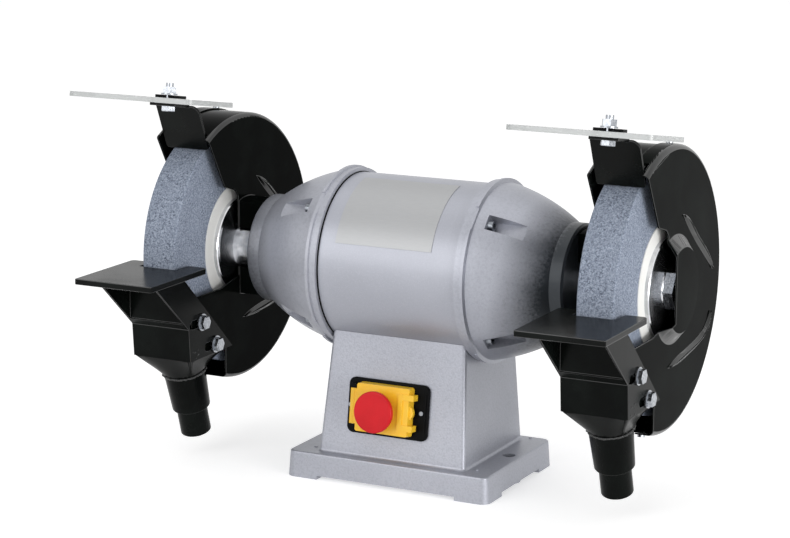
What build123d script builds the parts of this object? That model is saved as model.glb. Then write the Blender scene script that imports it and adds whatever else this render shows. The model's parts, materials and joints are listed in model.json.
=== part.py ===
from build123d import *
from math import atan2, cos, degrees, hypot, radians, sin, sqrt, tan
import os

# Double-ended industrial bench grinder for 250 mm wheels: a cast pedestal carries an
# induction motor, and each end of its shaft turns a grinding wheel in a steel guard.
# Millimetres. The origin lies on the bench, midway between the two anchor holes and
# straight below the shaft. +X runs along the shaft, -Y faces the person grinding.

# ---- driving dimensions ----------------------------------------------------------

SHAFT_HEIGHT = 217.0

# base casting
BASE_LENGTH = 227.0
BASE_DEPTH = 164.0
BASE_HEIGHT = 27.0
BASE_SHIFT = -5.5
BASE_DRAFT = 4.2
BASE_CORNER = 10.0
BASE_WALL = 12.0
DECK = 8.0
PAD_LENGTH = 36.0
PAD_RELIEF = 4.0
ANCHOR_SPACING = 195.4
ANCHOR_RADIUS = 6.5
ANCHOR_BOSS = 12.0
FOOT_WIDTH = 164.0
SHELF_FRONT = 13.5
SHELF_BACK = 10.0
TOP_WIDTH = 148.0
TOP_FRONT = -56.0
TOP_BACK = 61.0
PEDESTAL_CORNER = 4.0
PEDESTAL_WALL = 7.0
HORN_RISE = 28.0
SADDLE_FLOOR = 12.0
SADDLE_GAP = 0.2
FOOT_FILLET = 3.0
PIP_RADIUS = 1.8
PIP_RISE = 0.8
PIP_INSET = 22.5
PIP_SHELF = 7.0
SADDLE_BOLT = 4.0
SADDLE_FLATS = 13.0
SADDLE_SPACING = 84.0
SADDLE_NOSE = 5.0

# bottom cover
COVER_GAP = 2.7
COVER_SHEET = 2.0
COVER_INSET = 9.0
COVER_BOSS = 8.0
COVER_SCREW = 2.5
COVER_FLATS = 8.0
COVER_SCREW_DEPTH = 9.0

# motor
HOUSING_RADIUS = 87.0
HOUSING_BORE = 80.0
HOUSING_HALF = 76.4
STATOR_HALF = 50.0
STATOR_BORE = 48.0
AIR_GAP = 0.5
WINDING_OUT = 67.0
WINDING_IN = 52.0
WINDING_REACH = 17.0
SLIP = 0.05

# end bells
BELL_FLANGE = 91.5
BELL_RIM = 93.4
BELL_FLANGE_END = 88.0
BELL_RIM_WIDTH = 4.5
BELL_SHOULDER = 89.5
BELL_WAIST = 77.0
BELL_WAIST_X = 126.0
BELL_NOSE = 56.0
BELL_NOSE_X = 162.0
BELL_END = 176.0
BELL_WALL = 6.0
HUB_START = 140.0
HUB_RADIUS = 42.0
TIE_CIRCLE = 80.0
TIE_SEAT = 98.0
TIE_RADIUS = 3.0
TIE_HEAD = 5.0
TIE_BOSS = 12.0
POCKET_FLOOR = 72.5
POCKET_WIDTH = 17.0
RIM_BREAK = 26.0

# bearings and shaft
BEARING_OUT = 31.0
BEARING_IN = 15.0
BEARING_WIDTH = 16.0
BEARING_START = 142.0
RACE = 4.5
CORE_RADIUS = 22.0
SHOULDER_RADIUS = 17.0
ARBOR_RADIUS = 12.7
ARBOR_NOSE = 0.7

# wheels, blotters, flanges and nuts
WHEEL_X = 238.5
WHEEL_RADIUS = 125.0
WHEEL_WIDTH = 38.0
BLOTTER_RADIUS = 66.0
BLOTTER_SHEET = 0.8
FLANGE_RADIUS = 50.0
FLANGE_RIM = 4.6
FLANGE_THICK = 8.0
FLANGE_CONE = 45.0
FLANGE_LAND = 16.0
FLANGE_HUB = 20.0
INNER_HUB = 24.5
INNER_HUB_LENGTH = 18.7
NUT_FLATS = 36.0
NUT_THICK = 10.0

# guards
GUARD_RADIUS = 140.0
GUARD_SHIFT = -7.0
GUARD_WIDTH = 63.0
GUARD_SHEET = 2.0
GUARD_EDGE = 5.0
BAND_REACH = 22.0
LIP_START = 12.0
LIP_GAP = 0.2
LIP_SHEET = 1.5
MOUTH_TOP = 67.6
MOUTH_FRONT = -45.0
MOUTH_ANGLE = 120.8
NOTCH_BACK = -18.0
NOTCH_TOP = 62.0
NOTCH_FLOOR = -37.0
NOTCH_FRONT = -55.0
NOTCH_RISE = 7.0
NOTCH_CORNER = 7.0
GUARD_FRONT = -114.0
GUARD_FLOOR = -100.0
BAND_FLOOR_END = -47.0
BAND_TOP_END = 116.3
LIP_TOP_END = 112.0
MOUNT_RADIUS = 52.0
MOUNT_FRONT = -17.0
MOUNT_BORE = 27.0
MOUNT_CIRCLE = 42.0
MOUNT_SPREAD = 70.0
MOUNT_SCREW = 3.0
MOUNT_FLATS = 10.0
MOUNT_HEAD = 2.2
HUB_DOME_WIDE = 54.0
HUB_DOME_NARROW = 42.0
HUB_DOME_RISE = 9.5
BEAD_WIDTH = 8.0
BEAD_RISE = 2.4
BEAD_CROWN = 0.35

# tool rests
TABLE_WIDTH = 90.0
TABLE_FRONT = -210.0
TABLE_BACK = -104.0
TABLE_TOP = -5.0
TABLE_THICK = 6.0
WHEEL_GAP = 3.0
SIDE_GAP = 2.6
HOPPER_GAP = 3.2
CHEEK_SHEET = 2.5
CHEEK_GAP = 0.3
CHEEK_FRONT = -187.0
CHEEK_BACK = -134.0
CHEEK_BEND_Y = -124.0
CHEEK_BEND_Z = -67.0
CHEEK_FLOOR = -101.0
CHEEK_TAIL = -38.0
APRON_TOP = -60.0
APRON_FOOT_Y = -121.5
HOPPER_BACK = -54.0
REST_BOLTS = ((-99.5, -63.5), (-73.0, -92.0))
REST_BOLT_RADIUS = 4.0
SLOT_FORWARD = 16.0
SLOT_BACKWARD = 10.5
SLOT_PLAY = 0.4
WEB_BACK = -128.0
RELIEF_HOLE = (-119.5, -64.5)
RELIEF_RADIUS = 2.8

# dust ports
PORT_Y = -79.0
PORT_Z = -122.0
PORT_LEAN = 17.0
PORT_RADIUS = 22.0
PORT_NECK = 20.0
PORT_LENGTH = 43.0
SPIGOT_RADIUS = 16.0
SPIGOT_LENGTH = 30.0
PORT_WALL = 2.0

# spark guards
SPARK_WIDTH = 50.0
SPARK_SHEET = 3.0
SPARK_FOOT = (-65.0, 109.5)
SPARK_HEAD = (-85.0, 156.0)
SPARK_CORNER = 9.0
FLANGE_WIDTH = 44.0
FLANGE_FOOT = 11.5
FLANGE_HEAD = 37.0
STUD_SPAN = 28.0
STUD_RADIUS = 2.5
STUD_AT = 23.5
STUD_NOSE = 7.0
STUD_UP = 8.0
STUD_DOWN = 1.5

# eye shields
SHIELD_WIDTH = 145.0
SHIELD_REACH = 76.0
SHIELD_OVERHANG = 10.0
SHIELD_THICK = 5.0
SHIELD_TILT = 9.0
SHIELD_CORNER = 8.0
PIVOT_Y = -101.0
PIVOT_Z = 160.0
PIVOT_RADIUS = 4.0
STRIP_LENGTH = 30.0
STRIP_WIDTH = 14.0
STRIP_THICK = 3.0
TAB_REACH = 12.0
TAB_WIDTH = 30.0

# switch
FACE_X = -5.0
FACE_DROP = 13.5
PLATE_WIDTH = 90.0
PLATE_HEIGHT = 56.5
PLATE_THICK = 3.5
PLATE_CORNER = 7.0
BODY_WIDTH = 56.0
BODY_HEIGHT = 42.0
BODY_DEPTH = 40.0
FRAME_RISE = 5.0
FLAP_LEFT = -31.0
FLAP_RIGHT = 29.0
FLAP_HEIGHT = 50.0
FLAP_BACK = 4.0
FLAP_FRONT = 14.5
FLAP_WALL = 2.0
TAB_RADIUS = 8.0
LUG_V = 15.5
LUG_WIDTH = 6.0
BAR_U = 19.5
BAR_WIDTH = 5.0
BAR_RISE = 1.4
HINGE_U = -36.0
HINGE_N = 8.0
HINGE_RADIUS = 3.0
KNUCKLE_HALF = 18.0
EAR_WIDTH = 4.0
EAR_GAP = 0.5
PIN_RADIUS = 1.2
STOP_U = -4.5
STOP_V = -1.6
STOP_RADIUS = 21.0
STOP_THICK = 9.0
STOP_RIM = 4.5
STOP_NECK = 14.0
STOP_TRAVEL = 4.0
STEM_RADIUS = 8.0
KEY_SIZE = 16.0
KEY_SPACING = 22.0
KEY_RISE = 2.5
KEY_TRAVEL = 3.0
KEY_GAP = 0.3
PRESS_GAP = 1.3

# electrics
CAPACITOR_RADIUS = 19.0
CAPACITOR_LENGTH = 88.0
CAPACITOR_Y = 26.0
CAPACITOR_Z = 46.0
CLIP_WIDTH = 24.0
GLAND_X = 48.0
GLAND_Z = 46.0
GLAND_RADIUS = 8.0
GLAND_BORE = 4.5
GLAND_FLATS = 22.0
PLATE_FROM = -58.0
PLATE_TO = 48.0
PLATE_ANGLE_LOW = 160.0
PLATE_ANGLE_HIGH = 101.0
LABEL_SHEET = 0.4
LABEL_GAP = 0.15

os.makedirs("parts", exist_ok=True)

# ---- places and helpers ----------------------------------------------------------

SHAFT_AXIS = Axis((0, 0, SHAFT_HEIGHT), (1, 0, 0))
LENGTHWISE = Plane((0, 0, SHAFT_HEIGHT), x_dir=(1, 0, 0), z_dir=(0, -1, 0))
GUARD_OUT = WHEEL_X + GUARD_WIDTH / 2
GUARD_IN = WHEEL_X - GUARD_WIDTH / 2
PEDESTAL_TOP = SHAFT_HEIGHT - HOUSING_RADIUS + HORN_RISE
ROOF = SHAFT_HEIGHT - HOUSING_RADIUS - SADDLE_FLOOR
FOOT_FRONT = BASE_SHIFT - BASE_DEPTH / 2 + SHELF_FRONT
FOOT_BACK = BASE_SHIFT + BASE_DEPTH / 2 - SHELF_BACK
COVER_LENGTH = ANCHOR_SPACING - 2 * ANCHOR_BOSS - 2 * COVER_GAP
COVER_DEPTH = BASE_DEPTH - 2 * BASE_WALL - 2 * COVER_GAP
FACE_Z = (BASE_HEIGHT + PEDESTAL_TOP) / 2 - FACE_DROP
FACE_LEAN = degrees(atan2(TOP_FRONT - FOOT_FRONT, PEDESTAL_TOP - BASE_HEIGHT))
FACE_Y = FOOT_FRONT + (FACE_Z - BASE_HEIGHT) * tan(radians(FACE_LEAN))


def across(x):
    """Plane square to the shaft at x: its own x is Y and its own y is the height."""
    return Plane((x, 0, SHAFT_HEIGHT), x_dir=(0, 1, 0), z_dir=(1, 0, 0))


def face_plane(rise=0.0):
    """Plane on the pedestal's sloping front at the switch, raised off it by rise."""
    lean = radians(FACE_LEAN)
    out = Vector(0, -cos(lean), sin(lean))
    return Plane(Vector(FACE_X, FACE_Y, FACE_Z) + out * rise, x_dir=(1, 0, 0), z_dir=out)


def shield_plane(rise=0.0):
    """Plane on top of the spark guard's tab at the shield's pivot, raised by rise."""
    tilt = radians(SHIELD_TILT)
    up = Vector(0, sin(tilt), cos(tilt))
    pivot = Vector(WHEEL_X, PIVOT_Y, SHAFT_HEIGHT + PIVOT_Z)
    return Plane(pivot + up * rise, x_dir=(1, 0, 0), z_dir=up)


def port_plane(along=0.0):
    """Plane square to the dust port's axis, moved along it from the hopper's foot."""
    lean = radians(PORT_LEAN)
    down = Vector(0, sin(lean), -cos(lean))
    foot = Vector(WHEEL_X, PORT_Y, SHAFT_HEIGHT + PORT_Z)
    return Plane(foot + down * along, x_dir=(1, 0, 0), z_dir=down)


def spark_plane(rise=0.0):
    """Plane up the leaning spark guard from its lower edge, raised forward by rise."""
    up = Vector(0, SPARK_HEAD[0] - SPARK_FOOT[0], SPARK_HEAD[1] - SPARK_FOOT[1])
    out = Vector(1, 0, 0).cross(up.normalized())
    foot = Vector(WHEEL_X, SPARK_FOOT[0], SHAFT_HEIGHT + SPARK_FOOT[1])
    return Plane(foot + out * rise, x_dir=(1, 0, 0), z_dir=out)


def turned(points):
    """Solid of revolution about the shaft, from (x, radius) corners."""
    with BuildPart() as piece:
        with BuildSketch(LENGTHWISE):
            with BuildLine():
                Polyline(*points, close=True)
            make_face()
        revolve(axis=SHAFT_AXIS)
    return piece.part


def slab(plane, width, height, low, high):
    """Block on a plane, centred on its origin, from low to high along its normal."""
    with BuildPart() as piece:
        with BuildSketch(plane.offset(low)):
            Rectangle(width, height)
        extrude(amount=high - low)
    return piece.part


def rod(plane, radius, low, high):
    """Round bar on a plane's normal, from low to high."""
    with BuildPart() as piece:
        with BuildSketch(plane.offset(low)):
            Circle(radius)
        extrude(amount=high - low)
    return piece.part


def hex_bolt(plane, radius, flats, head, length, washer=0.0):
    """Hex-headed bolt whose head rests on a plane and whose shank runs below it."""
    with BuildPart() as piece:
        if washer:
            with BuildSketch(plane):
                Circle(flats * 0.68)
            extrude(amount=washer)
        with BuildSketch(plane.offset(washer)):
            RegularPolygon(flats / 2, 6, major_radius=False)
        extrude(amount=head)
        fillet(piece.faces().sort_by(Axis(plane.origin, plane.z_dir))[-1].edges(), head * 0.18)
        with BuildSketch(plane):
            Circle(radius)
        extrude(amount=-length)
    return piece.part


def cap_screw(plane, radius, head, length):
    """Socket-head cap screw whose head rests on a plane."""
    with BuildPart() as piece:
        with BuildSketch(plane):
            Circle(head)
        extrude(amount=2 * radius)
        fillet(piece.faces().sort_by(Axis(plane.origin, plane.z_dir))[-1].edges(), head * 0.12)
        with BuildSketch(plane.offset(2 * radius)):
            RegularPolygon(head * 0.5, 6, major_radius=False)
        extrude(amount=-radius, mode=Mode.SUBTRACT)
        with BuildSketch(plane):
            Circle(radius)
        extrude(amount=-length)
    return piece.part


def save(part, name):
    """Writes one node."""
    part.label = name
    export_step(part, f"parts/{name}.step")


def save_pair(part, name):
    """Writes the right-hand node and its mirror image for the left."""
    save(part, "right_" + name)
    save(mirror(part, about=Plane.YZ), "left_" + name)


def save_group(pieces, name):
    """Writes loose solids as one node."""
    save(Compound(children=pieces), name)


def both_ends(pieces):
    """The pieces and their mirror images at the other end of the shaft."""
    return pieces + [mirror(piece, about=Plane.YZ) for piece in pieces]


# ---- base casting ----------------------------------------------------------------

ANCHORS = [(-ANCHOR_SPACING / 2, 0), (ANCHOR_SPACING / 2, 0)]
COVER_SCREWS = [
    (x * (COVER_LENGTH / 2 - COVER_INSET), BASE_SHIFT + y * (COVER_DEPTH / 2 - COVER_INSET))
    for x in (-1, 1)
    for y in (-1, 1)
]
SADDLE_BOLTS = [-SADDLE_SPACING / 2, SADDLE_SPACING / 2]
PIPS = [
    (x * (BASE_LENGTH / 2 - PIP_INSET), y)
    for x in (-1, 1)
    for y in (
        BASE_SHIFT - BASE_DEPTH / 2 + PIP_INSET + PIP_RADIUS,
        BASE_SHIFT + BASE_DEPTH / 2 - PIP_SHELF - PIP_RADIUS / 2,
    )
]


def pedestal_section(height, inset):
    """Width, depth and middle Y of the tapered pedestal at a height, less a wall."""
    share = (height - BASE_HEIGHT) / (PEDESTAL_TOP - BASE_HEIGHT)
    width = FOOT_WIDTH + (TOP_WIDTH - FOOT_WIDTH) * share
    front = FOOT_FRONT + (TOP_FRONT - FOOT_FRONT) * share
    back = FOOT_BACK + (TOP_BACK - FOOT_BACK) * share
    return width - 2 * inset, back - front - 2 * inset, (front + back) / 2


with BuildPart() as pedestal_core:
    for height in (BASE_HEIGHT - DECK - 1, ROOF):
        width, depth, middle = pedestal_section(height, PEDESTAL_WALL)
        with BuildSketch(Plane.XY.offset(height)):
            with Locations((0, middle)):
                RectangleRounded(width, depth, 5)
    loft()

with BuildPart() as base_casting:
    with BuildSketch():
        with Locations((0, BASE_SHIFT)):
            RectangleRounded(BASE_LENGTH, BASE_DEPTH, BASE_CORNER)
    extrude(amount=BASE_HEIGHT, taper=BASE_DRAFT)
    fillet(base_casting.faces().sort_by(Axis.Z)[-1].edges(), 2.0)
    for height in (BASE_HEIGHT - DECK, PEDESTAL_TOP):
        width, depth, middle = pedestal_section(height, 0)
        with BuildSketch(Plane.XY.offset(height)):
            with Locations((0, middle)):
                RectangleRounded(width, depth, PEDESTAL_CORNER)
    loft()
    deck_edges = base_casting.edges().filter_by_position(Axis.Z, BASE_HEIGHT - 0.1, BASE_HEIGHT + 0.1)
    foot = deck_edges.filter_by_position(Axis.X, -FOOT_WIDTH / 2 - 1, FOOT_WIDTH / 2 + 1)
    fillet(foot.filter_by_position(Axis.Y, FOOT_FRONT - 1, FOOT_BACK + 1), FOOT_FILLET)
    with BuildSketch(Plane.XY.offset(BASE_HEIGHT - 1)):
        with Locations(*PIPS):
            Circle(PIP_RADIUS)
    extrude(amount=1 + PIP_RISE)
    # hollow under the deck, then the bosses that the anchors and the cover need
    with BuildSketch():
        with Locations((0, BASE_SHIFT)):
            RectangleRounded(BASE_LENGTH - 2 * BASE_WALL, BASE_DEPTH - 2 * BASE_WALL, 6)
    extrude(amount=BASE_HEIGHT - DECK, mode=Mode.SUBTRACT)
    with BuildSketch():
        with Locations(*ANCHORS):
            Circle(ANCHOR_BOSS)
    extrude(amount=BASE_HEIGHT - DECK)
    with BuildSketch(Plane.XY.offset(PAD_RELIEF + COVER_SHEET)):
        with Locations(*COVER_SCREWS):
            Circle(COVER_BOSS)
    extrude(amount=BASE_HEIGHT - DECK - PAD_RELIEF - COVER_SHEET)
    add(pedestal_core.part, mode=Mode.SUBTRACT)
    # feet: the rim is relieved between its corner pads
    with BuildSketch():
        with Locations((0, BASE_SHIFT)):
            Rectangle(BASE_LENGTH - 2 * PAD_LENGTH, BASE_DEPTH + 4)
            Rectangle(BASE_LENGTH + 4, BASE_DEPTH - 2 * PAD_LENGTH)
        with Locations(*ANCHORS):
            Circle(ANCHOR_BOSS, mode=Mode.SUBTRACT)
    extrude(amount=PAD_RELIEF, mode=Mode.SUBTRACT)
    # saddle for the motor
    with BuildSketch(across(-BASE_LENGTH / 2)):
        Circle(HOUSING_RADIUS + SADDLE_GAP)
    extrude(amount=BASE_LENGTH, mode=Mode.SUBTRACT)
    with BuildSketch():
        with Locations(*ANCHORS):
            Circle(ANCHOR_RADIUS)
    extrude(amount=BASE_HEIGHT, mode=Mode.SUBTRACT)
    with BuildSketch(Plane.XY.offset(PAD_RELIEF)):
        with Locations(*COVER_SCREWS):
            Circle(COVER_SCREW)
    extrude(amount=COVER_SHEET + COVER_SCREW_DEPTH + 1, mode=Mode.SUBTRACT)
    with BuildSketch(Plane.XY.offset(ROOF)):
        with Locations(*[(x, 0) for x in SADDLE_BOLTS]):
            Circle(SADDLE_BOLT + SLIP)
    extrude(amount=HOUSING_RADIUS, mode=Mode.SUBTRACT)
    # window for the switch and hole for the cable gland
    with BuildSketch(face_plane(5)):
        Rectangle(BODY_WIDTH + 1, BODY_HEIGHT + 1)
    extrude(amount=-(PEDESTAL_WALL + 15), mode=Mode.SUBTRACT)
    with BuildSketch(Plane((GLAND_X, 0, GLAND_Z), x_dir=(-1, 0, 0), z_dir=(0, 1, 0))):
        Circle(GLAND_RADIUS + SLIP)
    extrude(amount=BASE_DEPTH, mode=Mode.SUBTRACT)
save(base_casting.part, "base_casting")

with BuildPart() as bottom_cover:
    with BuildSketch(Plane.XY.offset(PAD_RELIEF)):
        with Locations((0, BASE_SHIFT)):
            RectangleRounded(COVER_LENGTH, COVER_DEPTH, 5)
        with Locations(*COVER_SCREWS):
            Circle(COVER_SCREW + SLIP, mode=Mode.SUBTRACT)
    extrude(amount=COVER_SHEET)
save(bottom_cover.part, "bottom_cover")

cover_screws = []
for x, y in COVER_SCREWS:
    below = Plane((x, y, PAD_RELIEF), x_dir=(1, 0, 0), z_dir=(0, 0, -1))
    length = COVER_SHEET + COVER_SCREW_DEPTH
    cover_screws.append(hex_bolt(below, COVER_SCREW - SLIP, COVER_FLATS, COVER_SCREW, length))
save_group(cover_screws, "bottom_cover_screws")

saddle_bolts = []
for x in SADDLE_BOLTS:
    below = Plane((x, 0, ROOF), x_dir=(1, 0, 0), z_dir=(0, 0, -1))
    length = SADDLE_FLOOR + SADDLE_NOSE
    saddle_bolts.append(hex_bolt(below, SADDLE_BOLT, SADDLE_FLATS, 1.3 * SADDLE_BOLT, length))
save_group(saddle_bolts, "saddle_bolts")

# ---- electrics inside the pedestal -----------------------------------------------

with BuildPart() as capacitor:
    with BuildSketch(Plane.YZ.offset(-CAPACITOR_LENGTH / 2)):
        with Locations((CAPACITOR_Y, CAPACITOR_Z)):
            Circle(CAPACITOR_RADIUS)
    extrude(amount=CAPACITOR_LENGTH)
    fillet(capacitor.edges().filter_by(GeomType.CIRCLE), 2)
    with BuildSketch(Plane.YZ.offset(CAPACITOR_LENGTH / 2)):
        with Locations((CAPACITOR_Y - 6, CAPACITOR_Z), (CAPACITOR_Y + 6, CAPACITOR_Z)):
            Rectangle(1, 6)
    extrude(amount=8)
save(capacitor.part, "capacitor")

WALL_BACK = pedestal_section(CAPACITOR_Z, PEDESTAL_WALL)
CLIP_BACK = WALL_BACK[2] + WALL_BACK[1] / 2
with BuildPart() as capacitor_clip:
    with BuildSketch(Plane.YZ.offset(-CLIP_WIDTH / 2)):
        with Locations((CAPACITOR_Y, CAPACITOR_Z)):
            Circle(CAPACITOR_RADIUS + 2.5)
        with Locations(((CAPACITOR_Y + CLIP_BACK - 1.2) / 2, CAPACITOR_Z)):
            Rectangle(CLIP_BACK - CAPACITOR_Y - 1.2, 24)
        with Locations((CAPACITOR_Y, CAPACITOR_Z)):
            Circle(CAPACITOR_RADIUS + SLIP, mode=Mode.SUBTRACT)
    extrude(amount=CLIP_WIDTH)
save(capacitor_clip.part, "capacitor_clip")

GLAND_WALL = pedestal_section(GLAND_Z, 0)
GLAND_FACE = GLAND_WALL[2] + GLAND_WALL[1] / 2
rear = Plane((GLAND_X, GLAND_FACE, GLAND_Z), x_dir=(-1, 0, 0), z_dir=(0, 1, 0))
with BuildPart() as cable_gland:
    with BuildSketch(rear.offset(0.8)):
        RegularPolygon(GLAND_FLATS / 2, 6, major_radius=False)
    extrude(amount=7)
    with BuildSketch(rear.offset(7.8)):
        Circle(GLAND_FLATS / 2 - 1)
    extrude(amount=9, taper=14)
    with BuildSketch(rear.offset(0.8)):
        Circle(GLAND_RADIUS)
    extrude(amount=-(PEDESTAL_WALL + 6))
    with BuildSketch(rear.offset(-PEDESTAL_WALL - 6)):
        Circle(GLAND_BORE)
    extrude(amount=40, mode=Mode.SUBTRACT)
save(cable_gland.part, "cable_gland")

# ---- motor -----------------------------------------------------------------------

TIE_ANGLES = [45, 135, 225, 315]
TIES = [(TIE_CIRCLE * cos(radians(a)), TIE_CIRCLE * sin(radians(a))) for a in TIE_ANGLES]
RIM_BREAKS = [
    Location(((BELL_FLANGE + 5) * cos(radians(a)), (BELL_FLANGE + 5) * sin(radians(a))), a)
    for a in TIE_ANGLES
]
POCKET_DEPTH = BELL_RIM - POCKET_FLOOR
POCKET_MIDDLE = POCKET_FLOOR + POCKET_DEPTH / 2
POCKETS = [
    Location((POCKET_MIDDLE * cos(radians(a)), POCKET_MIDDLE * sin(radians(a))), a)
    for a in TIE_ANGLES
]

with BuildPart() as motor_housing:
    with BuildSketch(across(-HOUSING_HALF)):
        Circle(HOUSING_RADIUS)
        Circle(HOUSING_BORE, mode=Mode.SUBTRACT)
    extrude(amount=2 * HOUSING_HALF)
    # lugs inside both ends take the tie screws
    for start in (-HOUSING_HALF, STATOR_HALF + 6):
        with BuildSketch(across(start)):
            with Locations(*TIES):
                Circle(9)
            with Locations((0, 0)):
                Circle(HOUSING_RADIUS - 1, mode=Mode.INTERSECT)
            with Locations(*TIES):
                Circle(TIE_RADIUS + SLIP, mode=Mode.SUBTRACT)
        extrude(amount=HOUSING_HALF - STATOR_HALF - 6)
    for start in (-HOUSING_HALF, STATOR_HALF + 6):
        with BuildSketch(across(start)):
            with Locations(*TIES):
                Circle(TIE_RADIUS + SLIP)
        extrude(amount=HOUSING_HALF - STATOR_HALF - 6, mode=Mode.SUBTRACT)
    with BuildSketch(Plane.XY.offset(SHAFT_HEIGHT - HOUSING_RADIUS - 1)):
        with Locations(*[(x, 0) for x in SADDLE_BOLTS]):
            Circle(SADDLE_BOLT + SLIP)
    extrude(amount=1 + HOUSING_RADIUS - HOUSING_BORE, mode=Mode.SUBTRACT)
save(motor_housing.part, "motor_housing")

with BuildPart() as name_plate:
    with BuildSketch(across(PLATE_FROM)):
        Circle(HOUSING_RADIUS + LABEL_GAP + LABEL_SHEET)
        Circle(HOUSING_RADIUS + LABEL_GAP, mode=Mode.SUBTRACT)
        reach = HOUSING_RADIUS + 20
        low = radians(PLATE_ANGLE_LOW)
        high = radians(PLATE_ANGLE_HIGH)
        middle = (low + high) / 2
        with BuildLine():
            Polyline(
                (0, 0),
                (reach * cos(high), reach * sin(high)),
                (1.3 * reach * cos(middle), 1.3 * reach * sin(middle)),
                (reach * cos(low), reach * sin(low)),
                close=True,
            )
        make_face(mode=Mode.INTERSECT)
    extrude(amount=PLATE_TO - PLATE_FROM)
save(name_plate.part, "name_plate")

save(
    turned(
        [
            (-STATOR_HALF, STATOR_BORE),
            (-STATOR_HALF, HOUSING_BORE - SLIP),
            (STATOR_HALF, HOUSING_BORE - SLIP),
            (STATOR_HALF, STATOR_BORE),
        ]
    ),
    "stator_core",
)

with BuildPart() as windings:
    with BuildSketch(across(STATOR_HALF)):
        Circle(WINDING_OUT)
        Circle(WINDING_IN, mode=Mode.SUBTRACT)
    extrude(amount=WINDING_REACH)
    fillet(windings.faces().sort_by(Axis.X)[-1].edges(), 5)
save_group(both_ends([windings.part]), "stator_windings")

# The end bell is a domed casting: its inside follows the dome one wall in, and four
# solid bosses are left standing in it for the tie screws.
with BuildPart() as bell_hollow:
    with BuildSketch(LENGTHWISE):
        with BuildLine():
            Polyline(
                (HUB_START, 0),
                (HOUSING_HALF, 0),
                (HOUSING_HALF, HOUSING_BORE),
                (BELL_FLANGE_END, BELL_SHOULDER - BELL_WALL),
            )
            ThreePointArc(
                (BELL_FLANGE_END, BELL_SHOULDER - BELL_WALL),
                (BELL_WAIST_X - 3, BELL_WAIST - BELL_WALL),
                (BELL_NOSE_X - BELL_WALL, BELL_NOSE - BELL_WALL),
            )
            Polyline(
                (BELL_NOSE_X - BELL_WALL, BELL_NOSE - BELL_WALL),
                (BELL_NOSE_X - BELL_WALL, HUB_RADIUS),
                (HUB_START, HUB_RADIUS),
                (HUB_START, 0),
            )
        make_face()
    revolve(axis=SHAFT_AXIS)
    with BuildSketch(across(HOUSING_HALF)):
        with Locations(*TIES):
            Circle(TIE_BOSS)
    extrude(amount=BELL_NOSE_X - HOUSING_HALF, mode=Mode.SUBTRACT)

with BuildPart() as end_bell:
    with BuildSketch(LENGTHWISE):
        with BuildLine():
            Polyline(
                (BELL_END, 0),
                (HOUSING_HALF + SLIP, 0),
                (HOUSING_HALF + SLIP, BELL_FLANGE),
                (BELL_FLANGE_END - BELL_RIM_WIDTH, BELL_FLANGE),
                (BELL_FLANGE_END - BELL_RIM_WIDTH + 0.5, BELL_RIM),
                (BELL_FLANGE_END - 1, BELL_RIM),
                (BELL_FLANGE_END, BELL_SHOULDER),
            )
            ThreePointArc(
                (BELL_FLANGE_END, BELL_SHOULDER),
                (BELL_WAIST_X, BELL_WAIST),
                (BELL_NOSE_X, BELL_NOSE),
            )
            Polyline(
                (BELL_NOSE_X, BELL_NOSE),
                (BELL_END - 2, BELL_NOSE),
                (BELL_END, BELL_NOSE - 2),
                (BELL_END, 0),
            )
        make_face()
    revolve(axis=SHAFT_AXIS)
    # the rim is broken over each tie screw
    with BuildSketch(across(HOUSING_HALF + SLIP)):
        with Locations(*RIM_BREAKS):
            Rectangle(10, RIM_BREAK)
    extrude(amount=BELL_FLANGE_END - HOUSING_HALF, mode=Mode.SUBTRACT)
    add(bell_hollow.part, mode=Mode.SUBTRACT)
    with BuildSketch(across(TIE_SEAT)):
        with Locations(*POCKETS):
            Rectangle(POCKET_DEPTH, POCKET_WIDTH)
    extrude(amount=BELL_NOSE_X - TIE_SEAT, mode=Mode.SUBTRACT)
    with BuildSketch(across(HOUSING_HALF)):
        with Locations(*TIES):
            Circle(TIE_RADIUS + SLIP)
    extrude(amount=40, mode=Mode.SUBTRACT)
    with BuildSketch(across(HUB_START)):
        Circle(BEARING_OUT + SLIP)
    extrude(amount=BEARING_START + BEARING_WIDTH - HUB_START, mode=Mode.SUBTRACT)
    with BuildSketch(across(HUB_START)):
        Circle(SHOULDER_RADIUS + 1)
    extrude(amount=BELL_END, mode=Mode.SUBTRACT)
save_pair(end_bell.part, "end_bell")

tie_screws = []
for y, z in TIES:
    seat = Plane((TIE_SEAT, y, SHAFT_HEIGHT + z), x_dir=(0, 1, 0), z_dir=(1, 0, 0))
    tie_screws.append(cap_screw(seat, TIE_RADIUS, TIE_HEAD, TIE_SEAT - STATOR_HALF - 8))
save_group(both_ends(tie_screws), "tie_screws")

# ---- bearings, shaft and rotor ---------------------------------------------------

BEARING_END = BEARING_START + BEARING_WIDTH
RACE_GAP = 0.4
with BuildPart() as outer_ring:
    add(
        turned(
            [
                (BEARING_START, BEARING_IN + RACE + RACE_GAP),
                (BEARING_START, BEARING_OUT),
                (BEARING_END, BEARING_OUT),
                (BEARING_END, BEARING_IN + RACE + RACE_GAP),
            ]
        )
    )
save_group(both_ends([outer_ring.part]), "bearing_outer_rings")

inner_ring = turned(
    [
        (BEARING_START, BEARING_IN + SLIP),
        (BEARING_START, BEARING_IN + RACE),
        (BEARING_END, BEARING_IN + RACE),
        (BEARING_END, BEARING_IN + SLIP),
    ]
)
save_group(both_ends([inner_ring]), "bearing_inner_rings")

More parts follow.
